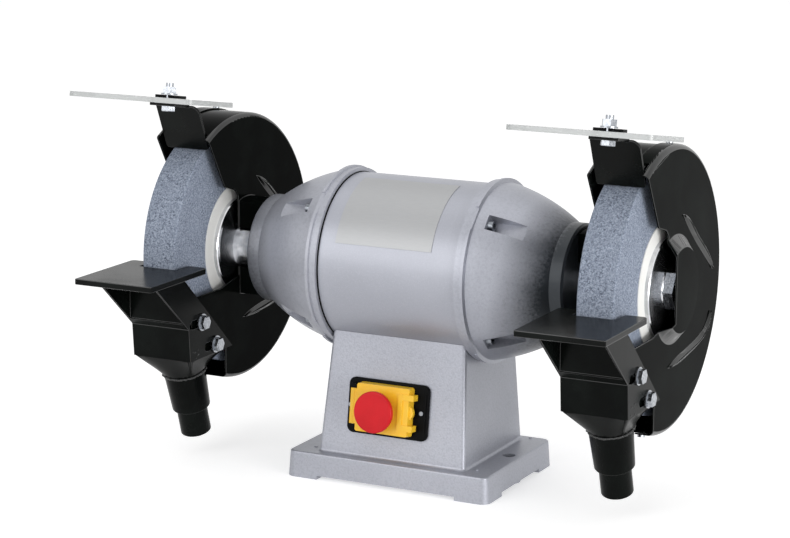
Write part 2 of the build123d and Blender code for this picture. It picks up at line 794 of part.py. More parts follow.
BLOTTER_IN = WHEEL_X - WHEEL_WIDTH / 2 - BLOTTER_SHEET
BLOTTER_OUT = WHEEL_X + WHEEL_WIDTH / 2 + BLOTTER_SHEET
FLANGE_BACK = BLOTTER_IN - FLANGE_THICK
HUB_BACK = FLANGE_BACK - INNER_HUB_LENGTH
FLANGE_FACE = BLOTTER_OUT + FLANGE_THICK - 1
NUT_FACE = FLANGE_FACE + NUT_THICK
ARBOR_END = NUT_FACE + ARBOR_NOSE

half_profile = [
    (STATOR_HALF - 2, CORE_RADIUS),
    (STATOR_HALF - 2, BEARING_IN + 3),
    (BEARING_START, BEARING_IN + 3),
    (BEARING_START, BEARING_IN),
    (BEARING_END, BEARING_IN),
    (BEARING_END, SHOULDER_RADIUS),
    (HUB_BACK, SHOULDER_RADIUS),
    (HUB_BACK, ARBOR_RADIUS),
    (ARBOR_END - 1.5, ARBOR_RADIUS),
    (ARBOR_END, ARBOR_RADIUS - 1.5),
]
with BuildPart() as motor_shaft:
    left_half = [(-x, radius) for x, radius in reversed(half_profile)]
    add(turned([(-ARBOR_END, 0)] + left_half + half_profile + [(ARBOR_END, 0)]))
save(motor_shaft.part, "motor_shaft")

with BuildPart() as rotor_core:
    with BuildSketch(across(2 - STATOR_HALF)):
        Circle(STATOR_BORE - AIR_GAP)
        Circle(CORE_RADIUS + SLIP, mode=Mode.SUBTRACT)
    extrude(amount=2 * STATOR_HALF - 4)
save(rotor_core.part, "rotor_core")

# ---- wheels and what clamps them -------------------------------------------------

BORE = ARBOR_RADIUS + SLIP


def flange_profile(back, seat, hub, tail):
    """Corners of a wheel flange whose rim bears at seat and whose hub runs past back."""
    side = 1 if seat > back else -1
    return [
        (back - side * tail, BORE),
        (back - side * tail, hub - 0.5),
        (back - side * (tail - 0.5), hub),
        (back, hub),
        (seat - side * FLANGE_RIM, FLANGE_CONE),
        (seat - side * FLANGE_RIM, FLANGE_RADIUS - 1),
        (seat - side * (FLANGE_RIM - 1), FLANGE_RADIUS),
        (seat, FLANGE_RADIUS),
        (seat, FLANGE_RADIUS - FLANGE_LAND),
        (seat - side * 1.5, FLANGE_RADIUS - FLANGE_LAND - 2),
        (seat - side * 1.5, BORE),
    ]


with BuildPart() as inner_flange:
    add(turned(flange_profile(FLANGE_BACK, BLOTTER_IN, INNER_HUB, INNER_HUB_LENGTH)))
save_pair(inner_flange.part, "inner_flange")

with BuildPart() as outer_flange:
    add(turned(flange_profile(FLANGE_FACE - 1, BLOTTER_OUT, FLANGE_HUB, 1.0)))
save_pair(outer_flange.part, "outer_flange")

with BuildPart() as wheel:
    with BuildSketch(across(WHEEL_X - WHEEL_WIDTH / 2)):
        Circle(WHEEL_RADIUS)
        Circle(BORE, mode=Mode.SUBTRACT)
    extrude(amount=WHEEL_WIDTH)
    chamfer(wheel.edges().filter_by(GeomType.CIRCLE).group_by(SortBy.RADIUS)[-1], 1.2)
save_pair(wheel.part, "wheel")

blotters = []
for start in (BLOTTER_IN, BLOTTER_OUT - BLOTTER_SHEET):
    with BuildPart() as blotter:
        with BuildSketch(across(start)):
            Circle(BLOTTER_RADIUS)
            Circle(BORE, mode=Mode.SUBTRACT)
        extrude(amount=BLOTTER_SHEET)
    blotters.append(blotter.part)
save_group(both_ends(blotters), "blotters")

with BuildPart() as arbor_nut:
    with BuildSketch(across(FLANGE_FACE)):
        RegularPolygon(NUT_FLATS / 2, 6, major_radius=False)
        Circle(BORE, mode=Mode.SUBTRACT)
    extrude(amount=NUT_THICK)
save_group(both_ends([arbor_nut.part]), "arbor_nuts")

# ---- guards ----------------------------------------------------------------------


def mouth(plane, depth, band=0.0):
    """Prism that opens a guard to the front, from a plane through depth.

    Its edge runs down the upper lip, round the notch at the hub, forward over the
    lower lip and under it along the dust hopper. The band opens further: above for
    the spark guard and below for the hopper.
    """
    lip = radians(MOUTH_ANGLE)
    away = 2.2 * GUARD_RADIUS
    top = (MOUTH_FRONT + GUARD_RADIUS * cos(lip), MOUTH_TOP + GUARD_RADIUS * sin(lip))
    with BuildPart() as piece:
        with BuildSketch(plane):
            with BuildLine():
                Polyline(
                    (-away, top[1]),
                    top,
                    (MOUTH_FRONT, MOUTH_TOP),
                    (NOTCH_BACK - NOTCH_CORNER, NOTCH_TOP),
                )
                Line((NOTCH_BACK - NOTCH_CORNER, NOTCH_TOP), (NOTCH_BACK, NOTCH_TOP - NOTCH_CORNER))
                Line((NOTCH_BACK, NOTCH_TOP - NOTCH_CORNER), (NOTCH_BACK, NOTCH_FLOOR + NOTCH_RISE))
                Line((NOTCH_BACK, NOTCH_FLOOR + NOTCH_RISE), (NOTCH_FRONT, NOTCH_FLOOR))
                Polyline(
                    (NOTCH_FRONT, NOTCH_FLOOR),
                    (GUARD_FRONT, NOTCH_FLOOR),
                    (GUARD_FRONT, GUARD_FLOOR),
                    (BAND_FLOOR_END, GUARD_FLOOR),
                    (BAND_FLOOR_END, -away),
                    (-away, -away),
                    (-away, top[1]),
                )
            make_face()
            if band:
                end = radians(band)
                edge = (GUARD_SHIFT + away * cos(end), away * sin(end))
                with BuildLine():
                    Polyline((GUARD_SHIFT, 0), edge, (-away, away), (-away, 0), close=True)
                make_face()
                with BuildLine():
                    Polyline((BAND_FLOOR_END, -away), (BAND_FLOOR_END, 0), (-away, 0), close=True)
                make_face()
        extrude(amount=depth)
    return piece.part


def leaf(points, width):
    """Closed outline that swells to a width along a line of points and tapers to its tips."""
    left = [points[0]]
    right = [points[0]]
    for before, here, after in zip(points, points[1:], points[2:]):
        run = hypot(after[0] - before[0], after[1] - before[1])
        side = (-(after[1] - before[1]) / run, (after[0] - before[0]) / run)
        left.append((here[0] + side[0] * width / 2, here[1] + side[1] * width / 2))
        right.append((here[0] - side[0] * width / 2, here[1] - side[1] * width / 2))
    left.append(points[-1])
    right.append(points[-1])
    return left, right[::-1]


def bead_solid(plane, points):
    """Pressed stiffening bead along a line of points on a side plate."""
    with BuildPart() as piece:
        for rise, width in ((0.0, BEAD_WIDTH), (BEAD_RISE, BEAD_WIDTH * BEAD_CROWN)):
            left, right = leaf(points, width)
            with BuildSketch(plane.offset(rise)):
                with BuildLine():
                    Spline(*left)
                    Spline(*right)
                make_face()
        loft()
    return piece.part


UPPER_BEAD = [(20, 70), (38, 58.5), (61, 40), (86, 22), (108, 1)]
LOWER_BEAD = [(-10, -76), (20, -73), (52, -69.5), (78, -65), (96, -57), (106, -42)]
MOUNT_SCREWS = [
    (MOUNT_CIRCLE * cos(radians(a)), MOUNT_CIRCLE * sin(radians(a)))
    for a in (-MOUNT_SPREAD, 0, MOUNT_SPREAD)
]

with BuildPart() as guard_band:
    with BuildSketch(across(GUARD_IN)):
        with Locations((GUARD_SHIFT, 0)):
            Circle(GUARD_RADIUS)
    extrude(amount=WHEEL_X + BAND_REACH - GUARD_IN)
    fillet(guard_band.faces().sort_by(Axis.X)[0].edges(), GUARD_EDGE)

with BuildPart() as band_hollow:
    with BuildSketch(across(GUARD_IN + GUARD_SHEET)):
        with Locations((GUARD_SHIFT, 0)):
            Circle(GUARD_RADIUS - GUARD_SHEET)
    extrude(amount=GUARD_WIDTH)
    fillet(band_hollow.faces().sort_by(Axis.X)[0].edges(), GUARD_EDGE - GUARD_SHEET)

with BuildPart() as guard_shell:
    add(guard_band.part)
    add(band_hollow.part, mode=Mode.SUBTRACT)
    add(mouth(across(GUARD_IN - 1), GUARD_WIDTH + 2), mode=Mode.SUBTRACT)
    inside = across(GUARD_IN + GUARD_EDGE)
    add(mouth(inside, GUARD_WIDTH, band=BAND_TOP_END), mode=Mode.SUBTRACT)
    # spacer that stands the guard off the end bell, cut back level with the notch
    with BuildSketch(across(BELL_END)):
        Circle(MOUNT_RADIUS)
        with Locations((MOUNT_FRONT - MOUNT_RADIUS, 0)):
            Rectangle(2 * MOUNT_RADIUS, 2 * MOUNT_RADIUS + 2, mode=Mode.SUBTRACT)
    extrude(amount=GUARD_IN - BELL_END)
    with BuildSketch(across(BELL_END)):
        Circle(MOUNT_BORE)
    extrude(amount=GUARD_IN + GUARD_SHEET - BELL_END, mode=Mode.SUBTRACT)
    with BuildSketch(across(BELL_END)):
        with Locations(*MOUNT_SCREWS):
            Circle(MOUNT_SCREW + SLIP)
    extrude(amount=GUARD_IN + GUARD_SHEET - BELL_END, mode=Mode.SUBTRACT)
    with BuildSketch(across(GUARD_IN - 1)):
        with Locations(*REST_BOLTS):
            Circle(REST_BOLT_RADIUS + SLIP)
    extrude(amount=GUARD_SHEET + 2, mode=Mode.SUBTRACT)
    # the band's front edge turns up behind the spark guard, slotted for its studs
    with BuildSketch(spark_plane(-SPARK_SHEET / 2 - CHEEK_GAP)):
        with Locations((0, (FLANGE_FOOT + FLANGE_HEAD) / 2)):
            Rectangle(FLANGE_WIDTH, FLANGE_HEAD - FLANGE_FOOT)
        for x in (-STUD_SPAN / 2, STUD_SPAN / 2):
            with Locations((x, STUD_AT + (STUD_UP - STUD_DOWN) / 2)):
                SlotOverall(
                    STUD_UP + STUD_DOWN + 2 * STUD_RADIUS + 2 * SLOT_PLAY,
                    2 * STUD_RADIUS + 2 * SLOT_PLAY,
                    rotation=90,
                    mode=Mode.SUBTRACT,
                )
    extrude(amount=-GUARD_SHEET)
    outward = Plane((GUARD_IN, 0, SHAFT_HEIGHT), x_dir=(0, -1, 0), z_dir=(-1, 0, 0))
    for points in (UPPER_BEAD, LOWER_BEAD):
        add(bead_solid(outward, [(-y, z) for y, z in points]))
save_pair(guard_shell.part, "guard_shell")

mount_screws = []
reach = GUARD_IN + GUARD_SHEET - BELL_END
for y, z in MOUNT_SCREWS:
    seat = Plane(
        (GUARD_IN + GUARD_SHEET, y, SHAFT_HEIGHT + z), x_dir=(0, 1, 0), z_dir=(1, 0, 0)
    )
    mount_screws.append(hex_bolt(seat, MOUNT_SCREW, MOUNT_FLATS, MOUNT_HEAD, reach))
save_group(both_ends(mount_screws), "guard_mount_screws")

with BuildPart() as cover_blank:
    with BuildSketch(across(WHEEL_X + LIP_START)):
        with Locations((GUARD_SHIFT, 0)):
            Circle(GUARD_RADIUS + LIP_GAP + LIP_SHEET)
    extrude(amount=GUARD_OUT - WHEEL_X - LIP_START)
    fillet(cover_blank.faces().sort_by(Axis.X)[-1].edges(), GUARD_EDGE + 1)

with BuildPart() as cover_hollow:
    with BuildSketch(across(WHEEL_X + LIP_START)):
        with Locations((GUARD_SHIFT, 0)):
            Circle(GUARD_RADIUS + LIP_GAP)
    extrude(amount=GUARD_OUT - GUARD_SHEET - WHEEL_X - LIP_START)
    fillet(cover_hollow.faces().sort_by(Axis.X)[-1].edges(), GUARD_EDGE - 1)

with BuildPart() as outer_cover:
    add(cover_blank.part)
    add(
        turned(
            [
                (GUARD_OUT - 1, 0),
                (GUARD_OUT - 1, HUB_DOME_WIDE),
                (GUARD_OUT, HUB_DOME_WIDE),
                (GUARD_OUT + HUB_DOME_RISE, HUB_DOME_NARROW),
                (GUARD_OUT + HUB_DOME_RISE, 0),
            ]
        )
    )
    add(cover_hollow.part, mode=Mode.SUBTRACT)
    add(
        turned(
            [
                (GUARD_OUT - GUARD_SHEET - 1, 0),
                (GUARD_OUT - GUARD_SHEET - 1, HUB_DOME_WIDE - 2),
                (GUARD_OUT - GUARD_SHEET, HUB_DOME_WIDE - 2),
                (GUARD_OUT + HUB_DOME_RISE - GUARD_SHEET, HUB_DOME_NARROW - 2),
                (GUARD_OUT + HUB_DOME_RISE - GUARD_SHEET, 0),
            ]
        ),
        mode=Mode.SUBTRACT,
    )
    with BuildPart(mode=Mode.PRIVATE) as opening:
        add(mouth(across(WHEEL_X), GUARD_WIDTH))
    add(opening.part, mode=Mode.SUBTRACT)
    rim = GUARD_OUT - GUARD_EDGE - 1 - WHEEL_X
    add(mouth(across(WHEEL_X), rim, band=LIP_TOP_END), mode=Mode.SUBTRACT)
    with BuildSketch(across(GUARD_OUT - 4)):
        with Locations(*REST_BOLTS):
            Circle(REST_BOLT_RADIUS + SLIP)
    extrude(amount=6, mode=Mode.SUBTRACT)
    for points in (UPPER_BEAD, LOWER_BEAD):
        add(bead_solid(across(GUARD_OUT), points))
save_pair(outer_cover.part, "outer_cover")

cover_bolts = []
for angle in (80, 15, -50, -103):
    out = Vector(0, cos(radians(angle)), sin(radians(angle)))
    centre = Vector(WHEEL_X + LIP_START + 4, GUARD_SHIFT, SHAFT_HEIGHT)
    seat = Plane(centre + out * (GUARD_RADIUS + LIP_GAP + LIP_SHEET + 0.1), x_dir=(1, 0, 0), z_dir=out)
    cover_bolts.append(seat)
save_group(
    both_ends([rod(seat, 3.6, 0.0, 2.2) for seat in cover_bolts]),
    "cover_screws",
)

# ---- tool rests ------------------------------------------------------------------

SLOT_WIDTH = WHEEL_WIDTH + 2 * SIDE_GAP
SLOT_END = -(WHEEL_RADIUS + WHEEL_GAP)
CHEEK_IN = GUARD_WIDTH / 2 + CHEEK_GAP
CHEEK_OUT = CHEEK_IN + CHEEK_SHEET
TABLE_FLOOR = TABLE_TOP - TABLE_THICK

with BuildPart() as rest_table:
    with BuildSketch(Plane.XY.offset(SHAFT_HEIGHT + TABLE_FLOOR)):
        with Locations((WHEEL_X, (TABLE_FRONT + TABLE_BACK) / 2)):
            Rectangle(TABLE_WIDTH, TABLE_BACK - TABLE_FRONT)
        with Locations((WHEEL_X, SLOT_END + WHEEL_RADIUS / 2)):
            Rectangle(SLOT_WIDTH, WHEEL_RADIUS, mode=Mode.SUBTRACT)
    extrude(amount=TABLE_THICK)
    prongs = rest_table.edges().filter_by(Axis.Z).group_by(Axis.Y)[-1]
    fillet(prongs, 5)
    fillet(rest_table.edges().filter_by(Axis.Z).group_by(Axis.Y)[0], 2)
save_pair(rest_table.part, "rest_table")

with BuildPart() as hopper_outside:
    with BuildSketch(Plane.XY.offset(SHAFT_HEIGHT + CHEEK_FLOOR)):
        with Locations((WHEEL_X, (APRON_FOOT_Y + HOPPER_BACK) / 2)):
            RectangleRounded(2 * CHEEK_OUT, HOPPER_BACK - APRON_FOOT_Y, 3)
    with BuildSketch(port_plane()):
        Circle(PORT_RADIUS)
    loft()

with BuildPart() as hopper_inside:
    with BuildSketch(Plane.XY.offset(SHAFT_HEIGHT + CHEEK_FLOOR)):
        with Locations((WHEEL_X, (APRON_FOOT_Y + HOPPER_BACK) / 2)):
            RectangleRounded(2 * CHEEK_IN, HOPPER_BACK - APRON_FOOT_Y - 2 * CHEEK_SHEET, 2)
    with BuildSketch(port_plane()):
        Circle(PORT_RADIUS - PORT_WALL)
    loft()

with BuildPart() as rest_bracket:
    for side in (-1, 1):
        with BuildSketch(across(WHEEL_X + side * CHEEK_OUT)):
            with BuildLine():
                Polyline(
                    (CHEEK_FRONT, TABLE_FLOOR),
                    (CHEEK_BEND_Y, CHEEK_BEND_Z),
                    (APRON_FOOT_Y, CHEEK_FLOOR),
                    (CHEEK_TAIL, CHEEK_FLOOR),
                    (CHEEK_BACK, TABLE_FLOOR),
                    close=True,
                )
            make_face()
            with Locations(RELIEF_HOLE):
                Circle(RELIEF_RADIUS, mode=Mode.SUBTRACT)
            for y, z in REST_BOLTS:
                with Locations((y + (SLOT_BACKWARD - SLOT_FORWARD) / 2, z)):
                    SlotOverall(
                        SLOT_FORWARD + SLOT_BACKWARD + 2 * REST_BOLT_RADIUS + 2 * SLOT_PLAY,
                        2 * REST_BOLT_RADIUS + 2 * SLOT_PLAY,
                        mode=Mode.SUBTRACT,
                    )
        extrude(amount=-side * CHEEK_SHEET)
    # front apron, folded forward along its top edge
    with BuildSketch(across(WHEEL_X - CHEEK_IN)):
        slope = (CHEEK_BEND_Y - CHEEK_FRONT) / (CHEEK_BEND_Z - TABLE_FLOOR)
        lip = CHEEK_BEND_Y + (APRON_TOP - CHEEK_BEND_Z) * slope
        with BuildLine():
            Polyline(
                (lip, APRON_TOP),
                (CHEEK_BEND_Y, CHEEK_BEND_Z),
                (APRON_FOOT_Y, CHEEK_FLOOR),
                (APRON_FOOT_Y + CHEEK_SHEET, CHEEK_FLOOR),
                (CHEEK_BEND_Y + CHEEK_SHEET, CHEEK_BEND_Z + 0.5),
                (lip + CHEEK_SHEET, APRON_TOP + 1),
                close=True,
            )
        make_face()
    extrude(amount=2 * CHEEK_IN)
    # upright web that closes the bracket in front of the wheel
    with BuildSketch(across(WHEEL_X - CHEEK_IN)):
        with Locations((WEB_BACK - CHEEK_SHEET / 2, (APRON_TOP + TABLE_FLOOR) / 2 - 0.25)):
            Rectangle(CHEEK_SHEET, TABLE_FLOOR - APRON_TOP + 0.5)
    extrude(amount=2 * CHEEK_IN)
    add(hopper_outside.part)
    add(hopper_inside.part, mode=Mode.SUBTRACT)
    # its back wall dips under the wheel
    with BuildSketch(across(WHEEL_X - SLOT_WIDTH / 2 - 1)):
        Circle(WHEEL_RADIUS + HOPPER_GAP)
    extrude(amount=SLOT_WIDTH + 2, mode=Mode.SUBTRACT)
save_pair(rest_bracket.part, "rest_bracket")

with BuildPart() as dust_port:
    with BuildSketch(port_plane()):
        Circle(PORT_RADIUS)
    with BuildSketch(port_plane(PORT_LENGTH)):
        Circle(PORT_NECK)
    loft()
    with BuildSketch(port_plane(PORT_LENGTH)):
        Circle(SPIGOT_RADIUS)
    extrude(amount=SPIGOT_LENGTH)
    with BuildSketch(port_plane()):
        Circle(PORT_RADIUS - PORT_WALL)
    with BuildSketch(port_plane(PORT_LENGTH - PORT_WALL)):
        Circle(SPIGOT_RADIUS - PORT_WALL)
    loft(mode=Mode.SUBTRACT)
    with BuildSketch(port_plane(PORT_LENGTH - PORT_WALL)):
        Circle(SPIGOT_RADIUS - PORT_WALL)
    extrude(amount=SPIGOT_LENGTH + PORT_WALL, mode=Mode.SUBTRACT)
save_pair(dust_port.part, "dust_port")

# Each bolt clamps the slotted cheek between a washer and the guard's side, and ends
# in a nut inside the guard.
rest_bolts = []
for y, z in REST_BOLTS:
    for side in (-1, 1):
        face = WHEEL_X + side * (CHEEK_OUT + CHEEK_GAP)
        seat = Plane((face, y, SHAFT_HEIGHT + z), x_dir=(0, 1, 0), z_dir=(side, 0, 0))
        reach = CHEEK_GAP + CHEEK_SHEET + CHEEK_GAP + GUARD_SHEET + 6
        with BuildPart() as rest_bolt:
            add(hex_bolt(seat, REST_BOLT_RADIUS, 13, 5.3, reach, washer=1.6))
            nut = seat.offset(-(reach - 6))
            with BuildSketch(nut):
                RegularPolygon(6.5, 6, major_radius=False)
            extrude(amount=-5)
        rest_bolts.append(rest_bolt.part)
for side, name in ((1, "right_rest_bolts"), (-1, "left_rest_bolts")):
    if side > 0:
        save_group(rest_bolts, name)
    else:
        save_group([mirror(piece, about=Plane.YZ) for piece in rest_bolts], name)

# ---- spark guards and eye shields ------------------------------------------------

SPARK_RUN = hypot(SPARK_HEAD[0] - SPARK_FOOT[0], SPARK_HEAD[1] - SPARK_FOOT[1])
STUD_PLACES = [(-STUD_SPAN / 2, STUD_AT), (STUD_SPAN / 2, STUD_AT)]
STUD_LENGTH = CHEEK_GAP + GUARD_SHEET + CHEEK_GAP + STUD_NOSE

with BuildPart() as spark_guard:
    with BuildSketch(spark_plane(SPARK_SHEET / 2)):
        with Locations((0, SPARK_RUN / 2)):
            Rectangle(SPARK_WIDTH, SPARK_RUN)
    extrude(amount=-SPARK_SHEET)
    lowest = spark_guard.edges().filter_by(lambda e: abs(e.length - SPARK_SHEET) < 0.01)
    fillet(lowest.group_by(Axis.Z)[0], 3)
    highest = spark_guard.edges().filter_by(lambda e: abs(e.length - SPARK_SHEET) < 0.01)
    fillet(highest.group_by(Axis.Z)[-1].sort_by(Axis.X)[-1], SPARK_CORNER)
    with BuildSketch(shield_plane()):
        with Locations((0, (SPARK_HEAD[0] - PIVOT_Y - TAB_REACH) / 2)):
            Rectangle(TAB_WIDTH, TAB_REACH + SPARK_HEAD[0] - PIVOT_Y)
        Circle(PIVOT_RADIUS + SLIP, mode=Mode.SUBTRACT)
    extrude(amount=-SPARK_SHEET)
    with BuildSketch(spark_plane(-SPARK_SHEET / 2)):
        with Locations(*STUD_PLACES):
            Circle(STUD_RADIUS)
    extrude(amount=-STUD_LENGTH)
save(spark_guard.part, "right_spark_guard")
save(Pos(-2 * WHEEL_X, 0, 0) * spark_guard.part, "left_spark_guard")

with BuildPart() as spark_nuts:
    nut_seat = -SPARK_SHEET / 2 - CHEEK_GAP - GUARD_SHEET - CHEEK_GAP
    for start, depth, across_flats in ((nut_seat, 1.0, 0), (nut_seat - 1.0, 4.0, 8.0)):
        with BuildSketch(spark_plane(start)):
            with Locations(*STUD_PLACES):
                if across_flats:
                    RegularPolygon(across_flats / 2, 6, major_radius=False)
                else:
                    Circle(5.5)
                Circle(STUD_RADIUS + SLIP, mode=Mode.SUBTRACT)
        extrude(amount=-depth)
save_pair(spark_nuts.part, "spark_guard_nuts")

SHIELD_BASE = CHEEK_GAP
with BuildPart() as eye_shield:
    with BuildSketch(shield_plane(SHIELD_BASE)):
        with Locations((0, (SHIELD_OVERHANG - SHIELD_REACH) / 2)):
            RectangleRounded(SHIELD_WIDTH, SHIELD_REACH + SHIELD_OVERHANG, SHIELD_CORNER)
        Circle(PIVOT_RADIUS + SLIP, mode=Mode.SUBTRACT)
    extrude(amount=SHIELD_THICK)
save_pair(eye_shield.part, "eye_shield")

with BuildPart() as clamp_strip:
    with BuildSketch(shield_plane(SHIELD_BASE + SHIELD_THICK)):
        with Locations((0, SHIELD_OVERHANG - STRIP_WIDTH / 2)):
            RectangleRounded(STRIP_LENGTH, STRIP_WIDTH, 2)
        Circle(PIVOT_RADIUS + SLIP, mode=Mode.SUBTRACT)
    extrude(amount=STRIP_THICK)
save_pair(clamp_strip.part, "clamp_strip")

STACK = SHIELD_BASE + SHIELD_THICK + STRIP_THICK + CHEEK_GAP
under = shield_plane(-SPARK_SHEET)
with BuildPart() as pivot_bolt:
    head = Plane(under.origin, x_dir=(1, 0, 0), z_dir=-under.z_dir)
    add(hex_bolt(head, PIVOT_RADIUS, 13, 5.3, SPARK_SHEET + STACK + 12))
with BuildPart() as pivot_nut:
    with BuildSketch(shield_plane(STACK)):
        Circle(8.5)
        Circle(PIVOT_RADIUS + SLIP, mode=Mode.SUBTRACT)
    extrude(amount=1.6)
    with BuildSketch(shield_plane(STACK + 1.6)):
        RegularPolygon(6.5, 6, major_radius=False)
        Circle(PIVOT_RADIUS + SLIP, mode=Mode.SUBTRACT)
    extrude(amount=6.5)
save_pair(Compound(children=[pivot_bolt.part, pivot_nut.part]), "pivot_bolt")

# ---- switch ----------------------------------------------------------------------

KEYS = {"off_button": 0.0, "start_button": KEY_SPACING}
KEY_TOP = PLATE_THICK + KEY_RISE
EAR_V = KNUCKLE_HALF + EAR_GAP + EAR_WIDTH / 2
PIN_HALF = EAR_V + EAR_WIDTH / 2

with BuildPart() as switch_body:
    with BuildSketch(face_plane()):
        RectangleRounded(PLATE_WIDTH, PLATE_HEIGHT, PLATE_CORNER)
    extrude(amount=PLATE_THICK)
    fillet(switch_body.faces().sort_by(Axis(face_plane().origin, face_plane().z_dir))[-1].edges(), 1.2)
    with BuildSketch(face_plane(PLATE_THICK)):
        with Locations((PLATE_WIDTH / 2 - 3.2, 0)):
            Rectangle(2, PLATE_HEIGHT - 16)
    extrude(amount=0.8)
    with BuildSketch(face_plane()):
        Rectangle(BODY_WIDTH, BODY_HEIGHT)
    extrude(amount=-BODY_DEPTH)
    with BuildSketch(face_plane(PLATE_THICK)):
        for aside in KEYS.values():
            with Locations((STOP_U + aside, STOP_V)):
                Rectangle(KEY_SIZE + 2 * KEY_GAP, KEY_SIZE + 2 * KEY_GAP)
    extrude(amount=-20, mode=Mode.SUBTRACT)
    # ears that hold the flap's hinge pin
    with BuildSketch(face_plane(PLATE_THICK)):
        with Locations((HINGE_U, -EAR_V), (HINGE_U, EAR_V)):
            Rectangle(2 * HINGE_RADIUS, EAR_WIDTH)
    extrude(amount=HINGE_N - PLATE_THICK + HINGE_RADIUS)
    with BuildSketch(Plane(face_plane(HINGE_N).origin, x_dir=(1, 0, 0), z_dir=face_plane().y_dir)):
        with Locations((HINGE_U, 0)):
            Circle(PIN_RADIUS + SLIP)
    extrude(amount=30, both=True, mode=Mode.SUBTRACT)
save(switch_body.part, "switch_body")

for name, aside in KEYS.items():
    with BuildPart() as key:
        with BuildSketch(face_plane(KEY_TOP)):
            with Locations((STOP_U + aside, STOP_V)):
                Rectangle(KEY_SIZE, KEY_SIZE)
        extrude(amount=-(KEY_RISE + 12))
        fillet(key.faces().sort_by(Axis(face_plane().origin, face_plane().z_dir))[-1].edges(), 1.0)
    save(key.part, name)

hinge_line = Plane(
    face_plane(HINGE_N).origin + Vector(HINGE_U, 0, 0), x_dir=(1, 0, 0), z_dir=face_plane().y_dir
)
save(rod(hinge_line, PIN_RADIUS, -PIN_HALF, PIN_HALF), "flap_hinge_pin")

with BuildPart() as switch_flap:
    middle = (FLAP_LEFT + FLAP_RIGHT) / 2
    with BuildSketch(face_plane(FLAP_BACK)):
        with Locations((middle, 0)):
            RectangleRounded(FLAP_RIGHT - FLAP_LEFT, FLAP_HEIGHT, 3)
    extrude(amount=FLAP_FRONT - FLAP_BACK, taper=4)
    with BuildSketch(face_plane(FLAP_BACK)):
        with Locations((middle, 0)):
            Rectangle(FLAP_RIGHT - FLAP_LEFT - 2 * FLAP_WALL, FLAP_HEIGHT - 2 * FLAP_WALL)
    extrude(amount=FLAP_FRONT - FLAP_BACK - FLAP_WALL, taper=4, mode=Mode.SUBTRACT)
    # knuckle round the hinge pin and the web that joins it to the flap
    with BuildSketch(hinge_line.offset(-KNUCKLE_HALF)):
        Circle(HINGE_RADIUS)
        with Locations(((FLAP_LEFT + 1 - HINGE_U - HINGE_RADIUS) / 2, -1)):
            Rectangle(FLAP_LEFT + 1 - HINGE_U + HINGE_RADIUS, 3)
        Circle(PIN_RADIUS + SLIP, mode=Mode.SUBTRACT)
    extrude(amount=2 * KNUCKLE_HALF)
    # finger tab and latch lugs on the free edge
    with BuildSketch(face_plane(FLAP_BACK + 4)):
        with Locations((FLAP_RIGHT - 4.5, 0)):
            Circle(TAB_RADIUS)
        with Locations((FLAP_RIGHT - 2 - TAB_RADIUS, 0)):
            Rectangle(2 * TAB_RADIUS, 2 * TAB_RADIUS, mode=Mode.SUBTRACT)
    extrude(amount=4)
    with BuildSketch(face_plane(FLAP_BACK + 2)):
        with Locations((FLAP_RIGHT + 2, LUG_V), (FLAP_RIGHT + 2, -LUG_V)):
            Rectangle(6, LUG_WIDTH)
    extrude(amount=FLAP_FRONT + BAR_RISE - FLAP_BACK - 2)
    # raised grip bar that runs out into the lugs
    with BuildSketch(face_plane(FLAP_FRONT - 0.5)):
        with Locations((BAR_U, 0)):
            Rectangle(BAR_WIDTH, 2 * LUG_V + LUG_WIDTH)
        with Locations(((BAR_U + FLAP_RIGHT) / 2, LUG_V), ((BAR_U + FLAP_RIGHT) / 2, -LUG_V)):
            Rectangle(FLAP_RIGHT - BAR_U, LUG_WIDTH)
    extrude(amount=0.5 + BAR_RISE)
    with BuildSketch(face_plane(FLAP_BACK)):
        with Locations((STOP_U, STOP_V)):
            Circle(STEM_RADIUS + 0.1)
    extrude(amount=30, mode=Mode.SUBTRACT)
save(switch_flap.part, "switch_flap")

STOP_BASE = FLAP_FRONT + STOP_TRAVEL + 1.2
with BuildPart() as stop_button:
    with BuildSketch(face_plane(STOP_BASE)):
        with Locations((STOP_U, STOP_V)):
            Circle(STOP_NECK)
    with BuildSketch(face_plane(STOP_BASE + STOP_THICK - STOP_RIM)):
        with Locations((STOP_U, STOP_V)):
            Circle(STOP_RADIUS)
    loft()
    with BuildSketch(face_plane(STOP_BASE + STOP_THICK - STOP_RIM)):
        with Locations((STOP_U, STOP_V)):
            Circle(STOP_RADIUS)
    extrude(amount=STOP_RIM)
    front = stop_button.faces().sort_by(Axis(face_plane().origin, face_plane().z_dir))[-1]
    fillet(front.edges(), STOP_RIM / 3)
    with BuildSketch(face_plane(KEY_TOP + PRESS_GAP)):
        with Locations((STOP_U, STOP_V)):
            Circle(STEM_RADIUS)
    extrude(amount=STOP_BASE - KEY_TOP - PRESS_GAP)
save(stop_button.part, "stop_button")

switch_screws = []
for u in (-PLATE_WIDTH / 2 + 3.5, PLATE_WIDTH / 2 - 7.0):
    seat = face_plane(PLATE_THICK)
    place = Plane(seat.origin + Vector(u, 0, 0), x_dir=(1, 0, 0), z_dir=seat.z_dir)
    switch_screws.append(rod(place, 2.2, 0.05, 1.4))
save_group(switch_screws, "switch_screws")
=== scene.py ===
"""Finish, fittings, lights and camera for the double-ended bench grinder."""
import json
import math
import random

import bpy
from mathutils import Matrix, Vector

